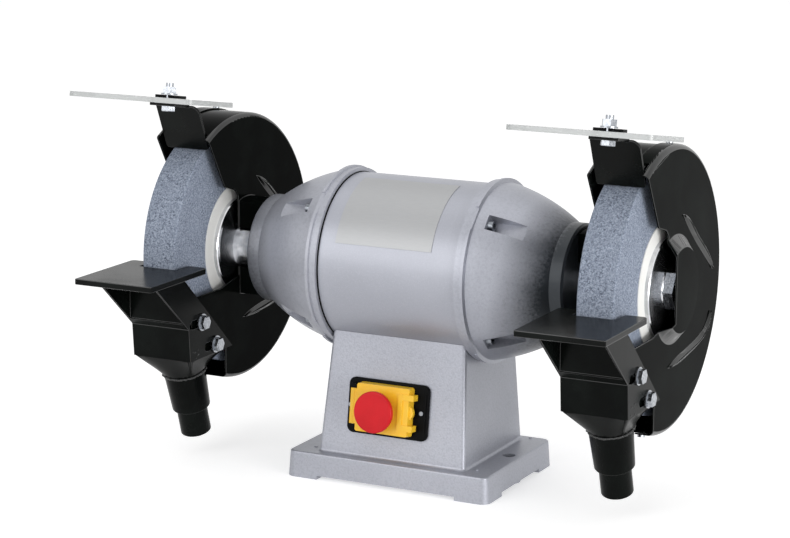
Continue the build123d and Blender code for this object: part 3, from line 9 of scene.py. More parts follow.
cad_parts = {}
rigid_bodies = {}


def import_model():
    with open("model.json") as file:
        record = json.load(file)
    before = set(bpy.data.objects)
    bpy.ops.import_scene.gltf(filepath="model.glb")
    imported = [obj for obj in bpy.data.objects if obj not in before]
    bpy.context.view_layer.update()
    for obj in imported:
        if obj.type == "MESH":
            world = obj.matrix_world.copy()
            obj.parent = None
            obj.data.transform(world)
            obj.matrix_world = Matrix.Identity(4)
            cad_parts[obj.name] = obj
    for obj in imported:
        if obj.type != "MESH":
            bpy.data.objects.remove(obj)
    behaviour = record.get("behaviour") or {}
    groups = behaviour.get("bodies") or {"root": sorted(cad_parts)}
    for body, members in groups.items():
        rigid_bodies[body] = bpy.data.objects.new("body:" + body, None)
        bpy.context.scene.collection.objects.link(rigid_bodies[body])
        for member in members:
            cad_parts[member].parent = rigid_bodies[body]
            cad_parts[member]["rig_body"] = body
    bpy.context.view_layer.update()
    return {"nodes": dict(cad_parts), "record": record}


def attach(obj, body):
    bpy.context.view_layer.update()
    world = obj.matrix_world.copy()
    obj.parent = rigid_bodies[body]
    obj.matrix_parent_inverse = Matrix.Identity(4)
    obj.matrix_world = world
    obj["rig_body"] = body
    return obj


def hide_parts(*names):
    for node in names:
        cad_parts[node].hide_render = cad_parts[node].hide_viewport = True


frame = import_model()
NODES = frame["nodes"]

# ---- sizes and places, in metres -----------------------------------------------

MM = 0.001
SHAFT_HEIGHT = 0.217
WHEEL_X = 0.2385

# turn, rise and roll in degrees, distance and aim in metres, film in millimetres
CAMERA_TURN = 26.886
CAMERA_RISE = 11.897
CAMERA_ROLL = 0.185
CAMERA_DISTANCE = 2.4479
FOCAL_PIXELS = 2406.8
WIDTH_PIXELS = 790
AIM_ACROSS = -0.02929
AIM_UP = -0.00657
FILM_WIDTH = 36
FARTHEST_SEEN = 50


# ---- camera --------------------------------------------------------------------

def place_camera():
    turn = math.radians(CAMERA_TURN)
    rise = math.radians(CAMERA_RISE)
    roll = math.radians(CAMERA_ROLL)
    level = math.cos(rise)
    back = Vector((math.sin(turn) * level, -math.cos(turn) * level, math.sin(rise)))
    right = Vector((math.cos(turn), math.sin(turn), 0))
    up = back.cross(right)
    right_rolled = right * math.cos(roll) + up * math.sin(roll)
    up_rolled = up * math.cos(roll) - right * math.sin(roll)
    target = right * AIM_ACROSS + Vector((0, 0, AIM_UP + SHAFT_HEIGHT))
    data = bpy.data.cameras.new("Camera")
    data.sensor_width = FILM_WIDTH
    data.lens = FILM_WIDTH * FOCAL_PIXELS / WIDTH_PIXELS
    data.clip_end = FARTHEST_SEEN
    camera = bpy.data.objects.new("Camera", data)
    bpy.context.scene.collection.objects.link(camera)
    turned = Matrix((right_rolled, up_rolled, back)).transposed().to_4x4()
    turned.translation = target + back * CAMERA_DISTANCE
    camera.matrix_world = turned
    bpy.context.scene.camera = camera


# ---- finishes ------------------------------------------------------------------

# sockets of a mix node that is set to colours
FACTOR = 0
FIRST = 6
SECOND = 7
MIXED = 2


def colour(code):
    """Linear colour from an sRGB hex code."""
    parts = [int(code[i:i + 2], 16) / 255 for i in (1, 3, 5)]
    return (*[c / 12.92 if c <= 0.04045 else ((c + 0.055) / 1.055) ** 2.4 for c in parts], 1.0)


def new_material(name):
    material = bpy.data.materials.new(name)
    material.use_nodes = True
    material.node_tree.nodes.clear()
    return material, material.node_tree


def add(tree, kind, inputs, **settings):
    """Adds a node with its settings, and fills or links its inputs."""
    node = tree.nodes.new(kind)
    for key, value in settings.items():
        setattr(node, key, value)
    for key, value in inputs.items():
        if isinstance(value, bpy.types.NodeSocket):
            tree.links.new(value, node.inputs[key])
        else:
            node.inputs[key].default_value = value
    return node


def per_metre(size_mm):
    """Noise or cell scale for features of a size in millimetres."""
    return 1 / (size_mm * MM)


# how far the pits break up the edge of the painted shade at the noses, how far that
# edge creeps in for each metre down, and the length over which the painted shade deepens
NOSE_SHADE_RAGGED = 0.02
NOSE_SHADE_SINKS = 0.2
NOSE_SHADE_FADE = 0.045


def cast_enamel(name, pit_mm, pit_depth_mm, mottle, metallic, nose_shade_depth, unshaded_to):
    """Silver-grey hammer enamel sprayed over a casting, or over the drawn tube. Leafed
    aluminium in the paint gives a soft metallic sheen; the skin beneath shows
    through as shallow pits. Painted shade darkens it towards the noses, standing in
    for the shadow and dark reflection of the guards and wheels beside them."""
    material, tree = new_material(name)
    place = add(tree, "ShaderNodeTexCoord", {}).outputs["Object"]
    pits = add(tree, "ShaderNodeTexNoise", {
        "Vector": place, "Scale": per_metre(pit_mm), "Detail": 2.0, "Roughness": 0.55})
    flake = add(tree, "ShaderNodeTexNoise", {
        "Vector": place, "Scale": per_metre(0.9), "Detail": 1.0})
    drift = add(tree, "ShaderNodeTexNoise", {
        "Vector": place, "Scale": per_metre(140), "Detail": 3.0})
    cloudy = add(tree, "ShaderNodeMapRange", {
        "Value": drift.outputs["Fac"], "From Min": 0.35, "From Max": 0.65})
    coat = add(tree, "ShaderNodeMix", {
        FACTOR: cloudy.outputs[0], FIRST: colour("#A2A4AD"), SECOND: colour("#AEB0B9")
    }, data_type="RGBA")
    spark = add(tree, "ShaderNodeMapRange", {
        "Value": flake.outputs["Fac"], "From Min": 0.5, "From Max": 0.75, "To Max": 0.3})
    flecked = add(tree, "ShaderNodeMix", {
        FACTOR: spark.outputs[0], FIRST: coat.outputs[MIXED], SECOND: colour("#C0C2CA")
    }, data_type="RGBA")
    deep = add(tree, "ShaderNodeMapRange", {
        "Value": pits.outputs["Fac"], "From Min": 0.55, "From Max": 0.35, "To Max": mottle})
    mottled = add(tree, "ShaderNodeMix", {
        FACTOR: deep.outputs[0], FIRST: flecked.outputs[MIXED], SECOND: colour("#6E727A")
    }, data_type="RGBA")
    # painted shade, for the shadow and dark reflection of the guards and wheels that the
    # noses face: it runs from the given distance out along the shaft to the nose, reaching
    # further in low down, with a ragged edge
    along = add(tree, "ShaderNodeSeparateXYZ", {"Vector": place})
    outward = add(tree, "ShaderNodeMath", {0: along.outputs["X"]}, operation="ABSOLUTE")
    ragged = add(tree, "ShaderNodeMath", {
        0: pits.outputs["Fac"], 1: NOSE_SHADE_RAGGED, 2: outward.outputs[0]
    }, operation="MULTIPLY_ADD")
    sunk = add(tree, "ShaderNodeMath", {
        0: along.outputs["Z"], 1: -NOSE_SHADE_SINKS, 2: ragged.outputs[0]}, operation="MULTIPLY_ADD")
    start = unshaded_to - NOSE_SHADE_SINKS * SHAFT_HEIGHT
    # painted shade: this mask darkens the enamel towards the nose
    dust = add(tree, "ShaderNodeMapRange", {
        "Value": sunk.outputs[0], "From Min": start, "From Max": start + NOSE_SHADE_FADE,
        "To Max": nose_shade_depth})
    # the painted shade is a dark blue-grey
    with_painted_shade = add(tree, "ShaderNodeMix", {
        FACTOR: dust.outputs[0], FIRST: mottled.outputs[MIXED], SECOND: colour("#23282C")
    }, data_type="RGBA")
    gloss = add(tree, "ShaderNodeMapRange", {
        "Value": pits.outputs["Fac"], "To Min": 0.36, "To Max": 0.5})
    bumps = add(tree, "ShaderNodeBump", {
        "Height": pits.outputs["Fac"], "Distance": pit_depth_mm * MM, "Strength": 0.6})
    shader = add(tree, "ShaderNodeBsdfPrincipled", {
        "Base Color": with_painted_shade.outputs[MIXED], "Metallic": metallic, "Roughness": gloss.outputs[0],
        "Coat Weight": 0.12, "Coat Roughness": 0.15, "Normal": bumps.outputs["Normal"]})
    add(tree, "ShaderNodeOutputMaterial", {"Surface": shader.outputs["BSDF"]})
    return material


def black_enamel(name, roughness, peel_mm, peel_depth_mm, specular):
    """Stoved black enamel on steel sheet or flat bar. It is nearly black, its skin
    flows out to a faint orange peel, and only its edges catch the light."""
    material, tree = new_material(name)
    place = add(tree, "ShaderNodeTexCoord", {}).outputs["Object"]
    peel = add(tree, "ShaderNodeTexNoise", {
        "Vector": place, "Scale": per_metre(peel_mm), "Detail": 1.0})
    handling = add(tree, "ShaderNodeTexNoise", {
        "Vector": place, "Scale": per_metre(60), "Detail": 4.0, "Roughness": 0.6})
    film = add(tree, "ShaderNodeMapRange", {
        "Value": handling.outputs["Fac"], "From Min": 0.45, "From Max": 0.75})
    tone = add(tree, "ShaderNodeMix", {
        FACTOR: film.outputs[0], FIRST: colour("#070908"), SECOND: colour("#121614")
    }, data_type="RGBA")
    dulled = add(tree, "ShaderNodeMapRange", {
        "Value": film.outputs[0], "To Min": roughness, "To Max": roughness + 0.1})
    bumps = add(tree, "ShaderNodeBump", {
        "Height": peel.outputs["Fac"], "Distance": peel_depth_mm * MM, "Strength": 0.7})
    shader = add(tree, "ShaderNodeBsdfPrincipled", {
        "Base Color": tone.outputs[MIXED], "Roughness": dulled.outputs[0],
        "Specular IOR Level": specular, "Normal": bumps.outputs["Normal"]})
    add(tree, "ShaderNodeOutputMaterial", {"Surface": shader.outputs["BSDF"]})
    return material


def from_shaft(tree, place):
    """Distance of each place from the shaft's line, for marks that run round it."""
    centred = add(tree, "ShaderNodeVectorMath", {
        0: place, 1: (0, 0, -SHAFT_HEIGHT)}, operation="ADD")
    across = add(tree, "ShaderNodeVectorMath", {
        0: centred.outputs[0], 1: (0, 1, 1)}, operation="MULTIPLY")
    length = add(tree, "ShaderNodeVectorMath", {0: across.outputs[0]}, operation="LENGTH")
    return length.outputs["Value"]


def turned_steel(name, low_code, high_code, roughness, ring_mm):
    """Bright mild steel faced and turned in a lathe. The tool leaves fine rings about
    the shaft that pull each highlight into a streak, under patches of oil film."""
    material, tree = new_material(name)
    place = add(tree, "ShaderNodeTexCoord", {}).outputs["Object"]
    radius = from_shaft(tree, place)
    # real feed marks are 0.15 mm apart; they are drawn at ring_mm so that they show
    rings = add(tree, "ShaderNodeTexNoise", {
        "W": radius, "Scale": per_metre(ring_mm), "Detail": 3.0}, noise_dimensions="1D")
    oil = add(tree, "ShaderNodeTexNoise", {
        "Vector": place, "Scale": per_metre(15), "Detail": 3.0})
    patch = add(tree, "ShaderNodeMapRange", {
        "Value": oil.outputs["Fac"], "From Min": 0.4, "From Max": 0.6})
    tone = add(tree, "ShaderNodeMix", {
        FACTOR: patch.outputs[0], FIRST: colour(low_code), SECOND: colour(high_code)
    }, data_type="RGBA")
    drag = add(tree, "ShaderNodeMapRange", {
        "Value": rings.outputs["Fac"], "To Min": roughness - 0.08, "To Max": roughness + 0.1})
    bumps = add(tree, "ShaderNodeBump", {
        "Height": rings.outputs["Fac"], "Distance": 0.02 * MM, "Strength": 0.7})
    shader = add(tree, "ShaderNodeBsdfPrincipled", {
        "Base Color": tone.outputs[MIXED], "Metallic": 1.0, "Roughness": drag.outputs[0],
        "Normal": bumps.outputs["Normal"]})
    add(tree, "ShaderNodeOutputMaterial", {"Surface": shader.outputs["BSDF"]})
    return material


def zinc_plate(name, low_code, high_code, roughness, crystal_mm):
    """Zinc electroplated or hot-dipped on steel, or bare drawn aluminium. Its crystals
    make cloudy patches, so a screw or a sheet looks bright, but never like a mirror."""
    material, tree = new_material(name)
    place = add(tree, "ShaderNodeTexCoord", {}).outputs["Object"]
    crystal = add(tree, "ShaderNodeTexVoronoi", {
        "Vector": place, "Scale": per_metre(crystal_mm)}, feature="SMOOTH_F1")
    tool = add(tree, "ShaderNodeTexNoise", {
        "Vector": place, "Scale": per_metre(0.5), "Detail": 2.0})
    tone = add(tree, "ShaderNodeMix", {
        FACTOR: crystal.outputs["Distance"], FIRST: colour(low_code), SECOND: colour(high_code)
    }, data_type="RGBA")
    dull = add(tree, "ShaderNodeMapRange", {
        "Value": crystal.outputs["Distance"], "To Min": roughness - 0.06,
        "To Max": roughness + 0.08})
    bumps = add(tree, "ShaderNodeBump", {
        "Height": tool.outputs["Fac"], "Distance": 0.01 * MM, "Strength": 0.5})
    shader = add(tree, "ShaderNodeBsdfPrincipled", {
        "Base Color": tone.outputs[MIXED], "Metallic": 1.0, "Roughness": dull.outputs[0],
        "Normal": bumps.outputs["Normal"]})
    add(tree, "ShaderNodeOutputMaterial", {"Surface": shader.outputs["BSDF"]})
    return material


def vitrified_alumina():
    """Brown-grey aluminium oxide grit fired in a glassy clay bond, dressed true. The
    crystals catch the light each at its own tone, and open pores read as dark specks."""
    material, tree = new_material("Vitrified_alumina")
    place = add(tree, "ShaderNodeTexCoord", {}).outputs["Object"]
    # 36 grit is 0.5 mm across; it is drawn at 1.1 mm so that it shows
    grit = add(tree, "ShaderNodeTexVoronoi", {"Vector": place, "Scale": per_metre(1.1)})
    grey = add(tree, "ShaderNodeSeparateColor", {"Color": grit.outputs["Color"]})
    pores = add(tree, "ShaderNodeTexNoise", {
        "Vector": place, "Scale": per_metre(1.8), "Detail": 3.0, "Roughness": 0.6})
    patch = add(tree, "ShaderNodeTexNoise", {
        "Vector": place, "Scale": per_metre(14), "Detail": 2.0})
    crystal = add(tree, "ShaderNodeMix", {
        FACTOR: grey.outputs[0], FIRST: colour("#7A8494"), SECOND: colour("#AEB7C8")
    }, data_type="RGBA")
    open_pore = add(tree, "ShaderNodeMapRange", {
        "Value": pores.outputs["Fac"], "From Min": 0.36, "From Max": 0.5, "To Min": 1.0,
        "To Max": 0.0})
    pitted = add(tree, "ShaderNodeMix", {
        FACTOR: open_pore.outputs[0], FIRST: crystal.outputs[MIXED], SECOND: colour("#5A6272")
    }, data_type="RGBA")
    worn = add(tree, "ShaderNodeMapRange", {
        "Value": patch.outputs["Fac"], "From Min": 0.4, "From Max": 0.65, "To Max": 0.35})
    tone = add(tree, "ShaderNodeMix", {
        FACTOR: worn.outputs[0], FIRST: pitted.outputs[MIXED], SECOND: colour("#98A1B2")
    }, data_type="RGBA")
    bumps = add(tree, "ShaderNodeBump", {
        "Height": grit.outputs["Distance"], "Distance": 0.25 * MM, "Strength": 0.5})
    shader = add(tree, "ShaderNodeBsdfPrincipled", {
        "Base Color": tone.outputs[MIXED], "Roughness": 0.9, "Specular IOR Level": 0.25,
        "Normal": bumps.outputs["Normal"]})
    add(tree, "ShaderNodeOutputMaterial", {"Surface": shader.outputs["BSDF"]})
    return material


def blotting_card():
    """Uncoated blotting card, pressed between flange and wheel: off-white, quite
    matt, with short fibres."""
    material, tree = new_material("Blotting_card")
    place = add(tree, "ShaderNodeTexCoord", {}).outputs["Object"]
    fibre = add(tree, "ShaderNodeTexNoise", {
        "Vector": place, "Scale": per_metre(0.8), "Detail": 4.0})
    tone = add(tree, "ShaderNodeMix", {
        FACTOR: fibre.outputs["Fac"], FIRST: colour("#F0EFEB"), SECOND: colour("#FFFFFC")
    }, data_type="RGBA")
    bumps = add(tree, "ShaderNodeBump", {"Height": fibre.outputs["Fac"], "Distance": 0.03 * MM})
    shader = add(tree, "ShaderNodeBsdfPrincipled", {
        "Base Color": tone.outputs[MIXED], "Roughness": 0.85, "Specular IOR Level": 0.3,
        "Normal": bumps.outputs["Normal"]})
    add(tree, "ShaderNodeOutputMaterial", {"Surface": shader.outputs["BSDF"]})
    return material


def moulded_plastic(name, code, deep_code, roughness, grain_depth_mm, specular):
    """Injection-moulded nylon or ABS, coloured right through. A light spark-eroded
    grain from the mould softens its highlight, and the flow shifts its tone a little."""
    material, tree = new_material(name)
    place = add(tree, "ShaderNodeTexCoord", {}).outputs["Object"]
    flow = add(tree, "ShaderNodeTexNoise", {
        "Vector": place, "Scale": per_metre(25), "Detail": 2.0})
    grain = add(tree, "ShaderNodeTexNoise", {
        "Vector": place, "Scale": per_metre(0.5), "Detail": 2.0})
    shift = add(tree, "ShaderNodeMapRange", {
        "Value": flow.outputs["Fac"], "From Min": 0.3, "From Max": 0.7})
    tone = add(tree, "ShaderNodeMix", {
        FACTOR: shift.outputs[0], FIRST: colour(deep_code), SECOND: colour(code)
    }, data_type="RGBA")
    gloss = add(tree, "ShaderNodeMapRange", {
        "Value": grain.outputs["Fac"], "To Min": roughness - 0.05, "To Max": roughness + 0.07})
    bumps = add(tree, "ShaderNodeBump", {
        "Height": grain.outputs["Fac"], "Distance": grain_depth_mm * MM})
    shader = add(tree, "ShaderNodeBsdfPrincipled", {
        "Base Color": tone.outputs[MIXED], "Roughness": gloss.outputs[0],
        "Specular IOR Level": specular, "Normal": bumps.outputs["Normal"]})
    add(tree, "ShaderNodeOutputMaterial", {"Surface": shader.outputs["BSDF"]})
    return material


def polycarbonate_sheet():
    """Clear polycarbonate sheet, sawn and left with its fine wiping scratches. It
    lets the guard show through, and its thickness carries a pale grey light."""
    material, tree = new_material("Polycarbonate_sheet")
    place = add(tree, "ShaderNodeTexCoord", {}).outputs["Object"]
    scratch = add(tree, "ShaderNodeTexNoise", {
        "Vector": place, "Scale": per_metre(1.2), "Detail": 3.0})
    haze = add(tree, "ShaderNodeTexNoise", {
        "Vector": place, "Scale": per_metre(30), "Detail": 2.0})
    tone = add(tree, "ShaderNodeMix", {
        FACTOR: haze.outputs["Fac"], FIRST: colour("#D2D5D5"), SECOND: colour("#DDDFDE")
    }, data_type="RGBA")
    rub = add(tree, "ShaderNodeMapRange", {
        "Value": scratch.outputs["Fac"], "To Min": 0.16, "To Max": 0.3})
    shader = add(tree, "ShaderNodeBsdfPrincipled", {
        "Base Color": tone.outputs[MIXED], "Roughness": rub.outputs[0], "IOR": 1.585,
        "Specular IOR Level": 0.3, "Transmission Weight": 0.35})
    add(tree, "ShaderNodeOutputMaterial", {"Surface": shader.outputs["BSDF"]})
    return material


def enamelled_copper():
    """Enamelled copper wire wound in hoops and varnished: a red-brown metallic bundle
    ribbed at the wire's pitch."""
    material, tree = new_material("Enamelled_copper_wire")
    place = add(tree, "ShaderNodeTexCoord", {}).outputs["Object"]
    radius = from_shaft(tree, place)
    turns = add(tree, "ShaderNodeMath", {
        0: radius, 1: math.tau * per_metre(1.1)}, operation="MULTIPLY")
    ridge = add(tree, "ShaderNodeMath", {0: turns.outputs[0]}, operation="SINE")
    varnish = add(tree, "ShaderNodeTexNoise", {"Vector": place, "Scale": per_metre(5)})
    tone = add(tree, "ShaderNodeMix", {
        FACTOR: varnish.outputs["Fac"], FIRST: colour("#8A4522"), SECOND: colour("#B5683A")
    }, data_type="RGBA")
    bumps = add(tree, "ShaderNodeBump", {"Height": ridge.outputs[0], "Distance": 0.2 * MM})
    shader = add(tree, "ShaderNodeBsdfPrincipled", {
        "Base Color": tone.outputs[MIXED], "Metallic": 0.8, "Roughness": 0.35,
        "Normal": bumps.outputs["Normal"]})
    add(tree, "ShaderNodeOutputMaterial", {"Surface": shader.outputs["BSDF"]})
    return material


def silver_film():
    """Silvered polyester film, stuck flat: a slightly brighter, smoother skin than the
    enamel round it, with a faint roller grain along the shaft."""
    material, tree = new_material("Silver_polyester_film")
    place = add(tree, "ShaderNodeTexCoord", {}).outputs["Object"]
    rolled = add(tree, "ShaderNodeMapping", {"Vector": place, "Scale": (1.0, 12.0, 12.0)})
    grain = add(tree, "ShaderNodeTexNoise", {
        "Vector": rolled.outputs[0], "Scale": per_metre(9), "Detail": 2.0})
    tone = add(tree, "ShaderNodeMix", {
        FACTOR: grain.outputs["Fac"], FIRST: colour("#A9AAAC"), SECOND: colour("#B4B5B6")
    }, data_type="RGBA")
    gloss = add(tree, "ShaderNodeMapRange", {
        "Value": grain.outputs["Fac"], "To Min": 0.36, "To Max": 0.46})
    shader = add(tree, "ShaderNodeBsdfPrincipled", {
        "Base Color": tone.outputs[MIXED], "Metallic": 0.4, "Roughness": gloss.outputs[0],
        "Specular IOR Level": 0.4})
    add(tree, "ShaderNodeOutputMaterial", {"Surface": shader.outputs["BSDF"]})
    return material


MATERIALS = {
    "grey_enamel": cast_enamel(
        "Hammer_enamel_on_casting", pit_mm=3.0, pit_depth_mm=0.12, mottle=0.15, metallic=0.3,
        nose_shade_depth=0.96, unshaded_to=0.150),
    "guard_black": black_enamel(
        "Gloss_enamel_on_pressed_steel", roughness=0.12, peel_mm=2.4, peel_depth_mm=0.010,
        specular=0.008),
    "rest_black": black_enamel(
        "Satin_enamel_on_folded_steel", roughness=0.22, peel_mm=1.3, peel_depth_mm=0.008,
        specular=0.06),
    "zinc_bolts": zinc_plate(
        "Zinc_plated_steel", "#8E9298", "#C6C9CE", roughness=0.24, crystal_mm=2.0),
    "zinc_sheet": zinc_plate(
        "Galvanised_sheet", "#A2A7AD", "#CDD0D4", roughness=0.4, crystal_mm=9.0),
    "abrasive": vitrified_alumina(),
    "blotter_paper": blotting_card(),
    "turned_flange": turned_steel(
        "Turned_bright_steel", "#C2C4C8", "#E2E3E6", roughness=0.2, ring_mm=0.9),
    "shaft_steel": turned_steel(
        "Ground_shaft_steel", "#A4A7AC", "#CDD0D4", roughness=0.28, ring_mm=0.9),
    "bearing_steel": turned_steel(
        "Ground_bearing_steel", "#B4B7BB", "#D6D8DB", roughness=0.2, ring_mm=0.8),
    "core_steel": turned_steel(
        "Silicon_steel_stampings", "#4C5055", "#66696E", roughness=0.45, ring_mm=0.8),
    "copper_winding": enamelled_copper(),
    "capacitor_can": zinc_plate(
        "Drawn_aluminium_can", "#BFC2C5", "#DADCDE", roughness=0.34, crystal_mm=12.0),
    "silver_label": silver_film(),
    "black_plastic": moulded_plastic(
        "Moulded_black_nylon", "#141516", "#0A0B0C", roughness=0.4, grain_depth_mm=0.03,
        specular=0.05),
    "yellow_plastic": moulded_plastic(
        "Moulded_yellow_ABS", "#FFD03C", "#FCC428", roughness=0.25, grain_depth_mm=0.015,
        specular=0.45),
    "red_plastic": moulded_plastic(
        "Moulded_red_ABS", "#D81D27", "#CA1821", roughness=0.28, grain_depth_mm=0.015,
        specular=0.2),
    "green_plastic": moulded_plastic(
        "Moulded_green_ABS", "#1E8A45", "#197A3B", roughness=0.32, grain_depth_mm=0.015,
        specular=0.2),
    "shield_clear": polycarbonate_sheet(),
}

TABLE_BLACK = black_enamel(
    "Satin_enamel_on_flat_bar", roughness=0.2, peel_mm=1.3, peel_depth_mm=0.006, specular=0.10)
DULL_ZINC = zinc_plate(
    "Zinc_plate_dulled_by_overspray", "#6C7076", "#9A9EA4", roughness=0.34, crystal_mm=2.0)
# the sand-cast base keeps a coarser skin than the bells, and the drawn tube a finer one
BY_NODE = {
    "base_casting": cast_enamel(
        "Hammer_enamel_on_sand_casting", pit_mm=2.0, pit_depth_mm=0.3, mottle=0.2, metallic=0.5,
        nose_shade_depth=0.0, unshaded_to=1.0),
    "motor_housing": cast_enamel(
        "Hammer_enamel_on_steel_tube", pit_mm=2.4, pit_depth_mm=0.05, mottle=0.05, metallic=0.5,
        nose_shade_depth=0.0, unshaded_to=1.0),
    # the right bell takes a deeper painted shade that starts nearer the middle
    "right_end_bell": cast_enamel(
        "Hammer_enamel_on_casting_right", pit_mm=3.0, pit_depth_mm=0.12, mottle=0.15,
        metallic=0.6, nose_shade_depth=0.97, unshaded_to=0.122),
    "tie_screws": DULL_ZINC,
    "switch_screws": DULL_ZINC,
    "left_spark_guard": TABLE_BLACK,
    "right_spark_guard": TABLE_BLACK,
    "left_rest_table": TABLE_BLACK,
    "right_rest_table": TABLE_BLACK,
}

# each plain node takes the finish of its slot, or its own where it has one
for entry in frame["record"]["subparts"]:
    piece = NODES.get(entry["node"])
    if piece:
        piece.data.materials.clear()
        piece.data.materials.append(
            BY_NODE.get(entry["node"], MATERIALS[entry["material_slot"]]))


# ---- plates with broken edges ----------------------------------------------------

# Corners of sheet are tumbled before they are painted, and rubbed bright in use.
RUBBED = black_enamel(
    "Rubbed_edge_of_black_enamel", roughness=0.14, peel_mm=2.4, peel_depth_mm=0.004,
    specular=0.6)
# a bevel is painted rubbed, or like the faces beside it
RUBBED_SLOT = 1
KEEP_SLOT = -1
BEVEL_FROM = math.radians(42)
BEVEL_SEGMENTS = 2
SMOOTH_WITHIN = math.radians(30)
FLAT_WITHIN = math.radians(1.2)
WELD_WITHIN = 0.01 * MM
# how far a face of a swaged rib leans out of the plate, as its normal's share along X
RIB_LEAST = 0.2
RIB_MOST = 0.985
HOPPER_TOP = 0.116


def take(piece):
    """Selects one piece and nothing else."""
    bpy.ops.object.select_all(action="DESELECT")
    piece.select_set(True)
    bpy.context.view_layer.objects.active = piece


def plate(node, break_mm, above=0.0, rubbed="edges"):
    """A finished plate in the place of its plain solid. Its sharp edges above a height
    are rounded over by break_mm, and its "edges" or its swaged "ribs" are rubbed."""
    piece = bpy.data.objects.new(node + "_painted", NODES[node].data.copy())
    bpy.context.scene.collection.objects.link(piece)
    take(piece)
    bpy.ops.object.mode_set(mode="EDIT")
    bpy.ops.mesh.select_all(action="SELECT")
    bpy.ops.mesh.remove_doubles(threshold=WELD_WITHIN)
    bpy.ops.mesh.dissolve_limited(angle_limit=FLAT_WITHIN)
    bpy.ops.object.mode_set(mode="OBJECT")
    piece.data.materials.append(RUBBED)
    bpy.ops.object.mode_set(mode="EDIT")
    bpy.ops.mesh.select_mode(type="EDGE")
    bpy.ops.mesh.select_all(action="DESELECT")
    bpy.ops.mesh.edges_select_sharp(sharpness=BEVEL_FROM)
    bpy.ops.object.mode_set(mode="OBJECT")
    corners = piece.data.vertices
    for edge in piece.data.edges:
        if edge.select and max(corners[i].co.z for i in edge.vertices) < above:
            edge.select = False
    bpy.ops.object.mode_set(mode="EDIT")
    bpy.ops.mesh.bevel(
        offset=break_mm * MM, segments=BEVEL_SEGMENTS, affect="EDGES",
        material=RUBBED_SLOT if rubbed == "edges" else KEEP_SLOT)
    bpy.ops.object.mode_set(mode="OBJECT")
    if rubbed == "ribs":
        for face in piece.data.polygons:
            if RIB_LEAST < abs(face.normal.x) < RIB_MOST:
                face.material_index = RUBBED_SLOT
    bpy.ops.object.shade_smooth_by_angle(angle=SMOOTH_WITHIN)
    # broad flats keep their own normals, so that they stay flat to the eye
    flats = piece.modifiers.new("Flat_flats", "WEIGHTED_NORMAL")
    flats.keep_sharp = True
    flats.weight = 100
    bpy.ops.object.modifier_apply(modifier=flats.name)
    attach(piece, NODES[node]["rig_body"])
    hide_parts(node)


for side in ("left", "right"):
    plate(side + "_guard_shell", 0.5, rubbed="ribs")
    plate(side + "_outer_cover", 0.5, rubbed="ribs")
    plate(side + "_rest_bracket", 0.5, above=HOPPER_TOP + MM)
    plate(side + "_rest_table", 0.7)
    plate(side + "_spark_guard", 0.4)
    plate(side + "_dust_port", 0.4)
    plate(side + "_clamp_strip", 0.4)


# ---- weld beads round the dust ports ------------------------------------------------

# the foot of a port: its y and z, its radius, and how steeply it rises to the back
PORT_FOOT = (-0.079, 0.095)
PORT_RADIUS = 22.0 * MM
PORT_LEAN = math.radians(17.0)
RIPPLES = 64
RIPPLE_RADIUS = 2.0 * MM
RIPPLE_SPREAD = (0.85, 1.15)
RIPPLE_WANDER = 0.02
RIPPLE_FLATNESS = 0.8
# spatter lies low on the cheeks, ahead of the rest bolts
CHEEK_OUT = 34.3 * MM
DROPS = 12
DROP_MM = (0.5, 1.1)
DROP_FLATNESS = 0.5
DROP_Y = (-0.117, -0.102)
DROP_ABOVE_HOPPER = (0.001, 0.014)
SPATTER = random.Random(11)


def blob(at, radius, flat_axis, flatness):
    """One frozen drop of weld metal, flattened along an axis."""
    bpy.ops.object.select_all(action="DESELECT")
    bpy.ops.mesh.primitive_ico_sphere_add(subdivisions=2, radius=radius, location=at)
    bpy.ops.object.mode_set(mode="EDIT")
    bpy.ops.mesh.select_all(action="SELECT")
    squash = [flatness if axis == flat_axis else 1.0 for axis in "XYZ"]
    bpy.ops.transform.resize(value=squash, center_override=at)
    bpy.ops.object.mode_set(mode="OBJECT")
    return bpy.context.object


def weld(side):
    """The ripple bead that ties a dust port to its hopper, and the spatter near it."""
    sign = -1 if side == "left" else 1
    drops = []
    for i in range(RIPPLES):
        turn = math.tau * i / RIPPLES
        reach = PORT_RADIUS * (1 + SPATTER.uniform(-RIPPLE_WANDER, RIPPLE_WANDER))
        across = reach * math.cos(turn)
        along = reach * math.sin(turn)
        at = (
            sign * WHEEL_X + across,
            PORT_FOOT[0] + along * math.cos(PORT_LEAN),
            PORT_FOOT[1] + along * math.sin(PORT_LEAN),
        )
        size = RIPPLE_RADIUS * SPATTER.uniform(*RIPPLE_SPREAD)
        drops.append(blob(at, size, "Z", RIPPLE_FLATNESS))
    for i in range(DROPS):
        # two in three on the cheek towards +X
        face = sign * WHEEL_X + CHEEK_OUT * (1 if i % 3 else -1)
        at = (
            face,
            SPATTER.uniform(*DROP_Y),
            HOPPER_TOP + SPATTER.uniform(*DROP_ABOVE_HOPPER),
        )
        drops.append(blob(at, SPATTER.uniform(*DROP_MM) * MM, "X", DROP_FLATNESS))
    take(drops[0])
    for drop in drops:
        drop.select_set(True)
    bpy.ops.object.join()
    piece = bpy.context.object
    piece.name = side + "_port_weld"
    bpy.ops.object.transform_apply(location=True, rotation=True, scale=True)
    bpy.ops.object.shade_smooth()
    piece.data.materials.append(RUBBED)
    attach(piece, side + "_rest")


weld("left")
weld("right")


# ---- black rings of painted shade where the bells meet the tube --------------------

TUBE_RADIUS = 87.0 * MM
TUBE_END = 76.4 * MM
SHADE_RING_RADIUS = 0.9 * MM
SHADE_RING_SIDES = 10
SHADE_RING_STEPS = 120


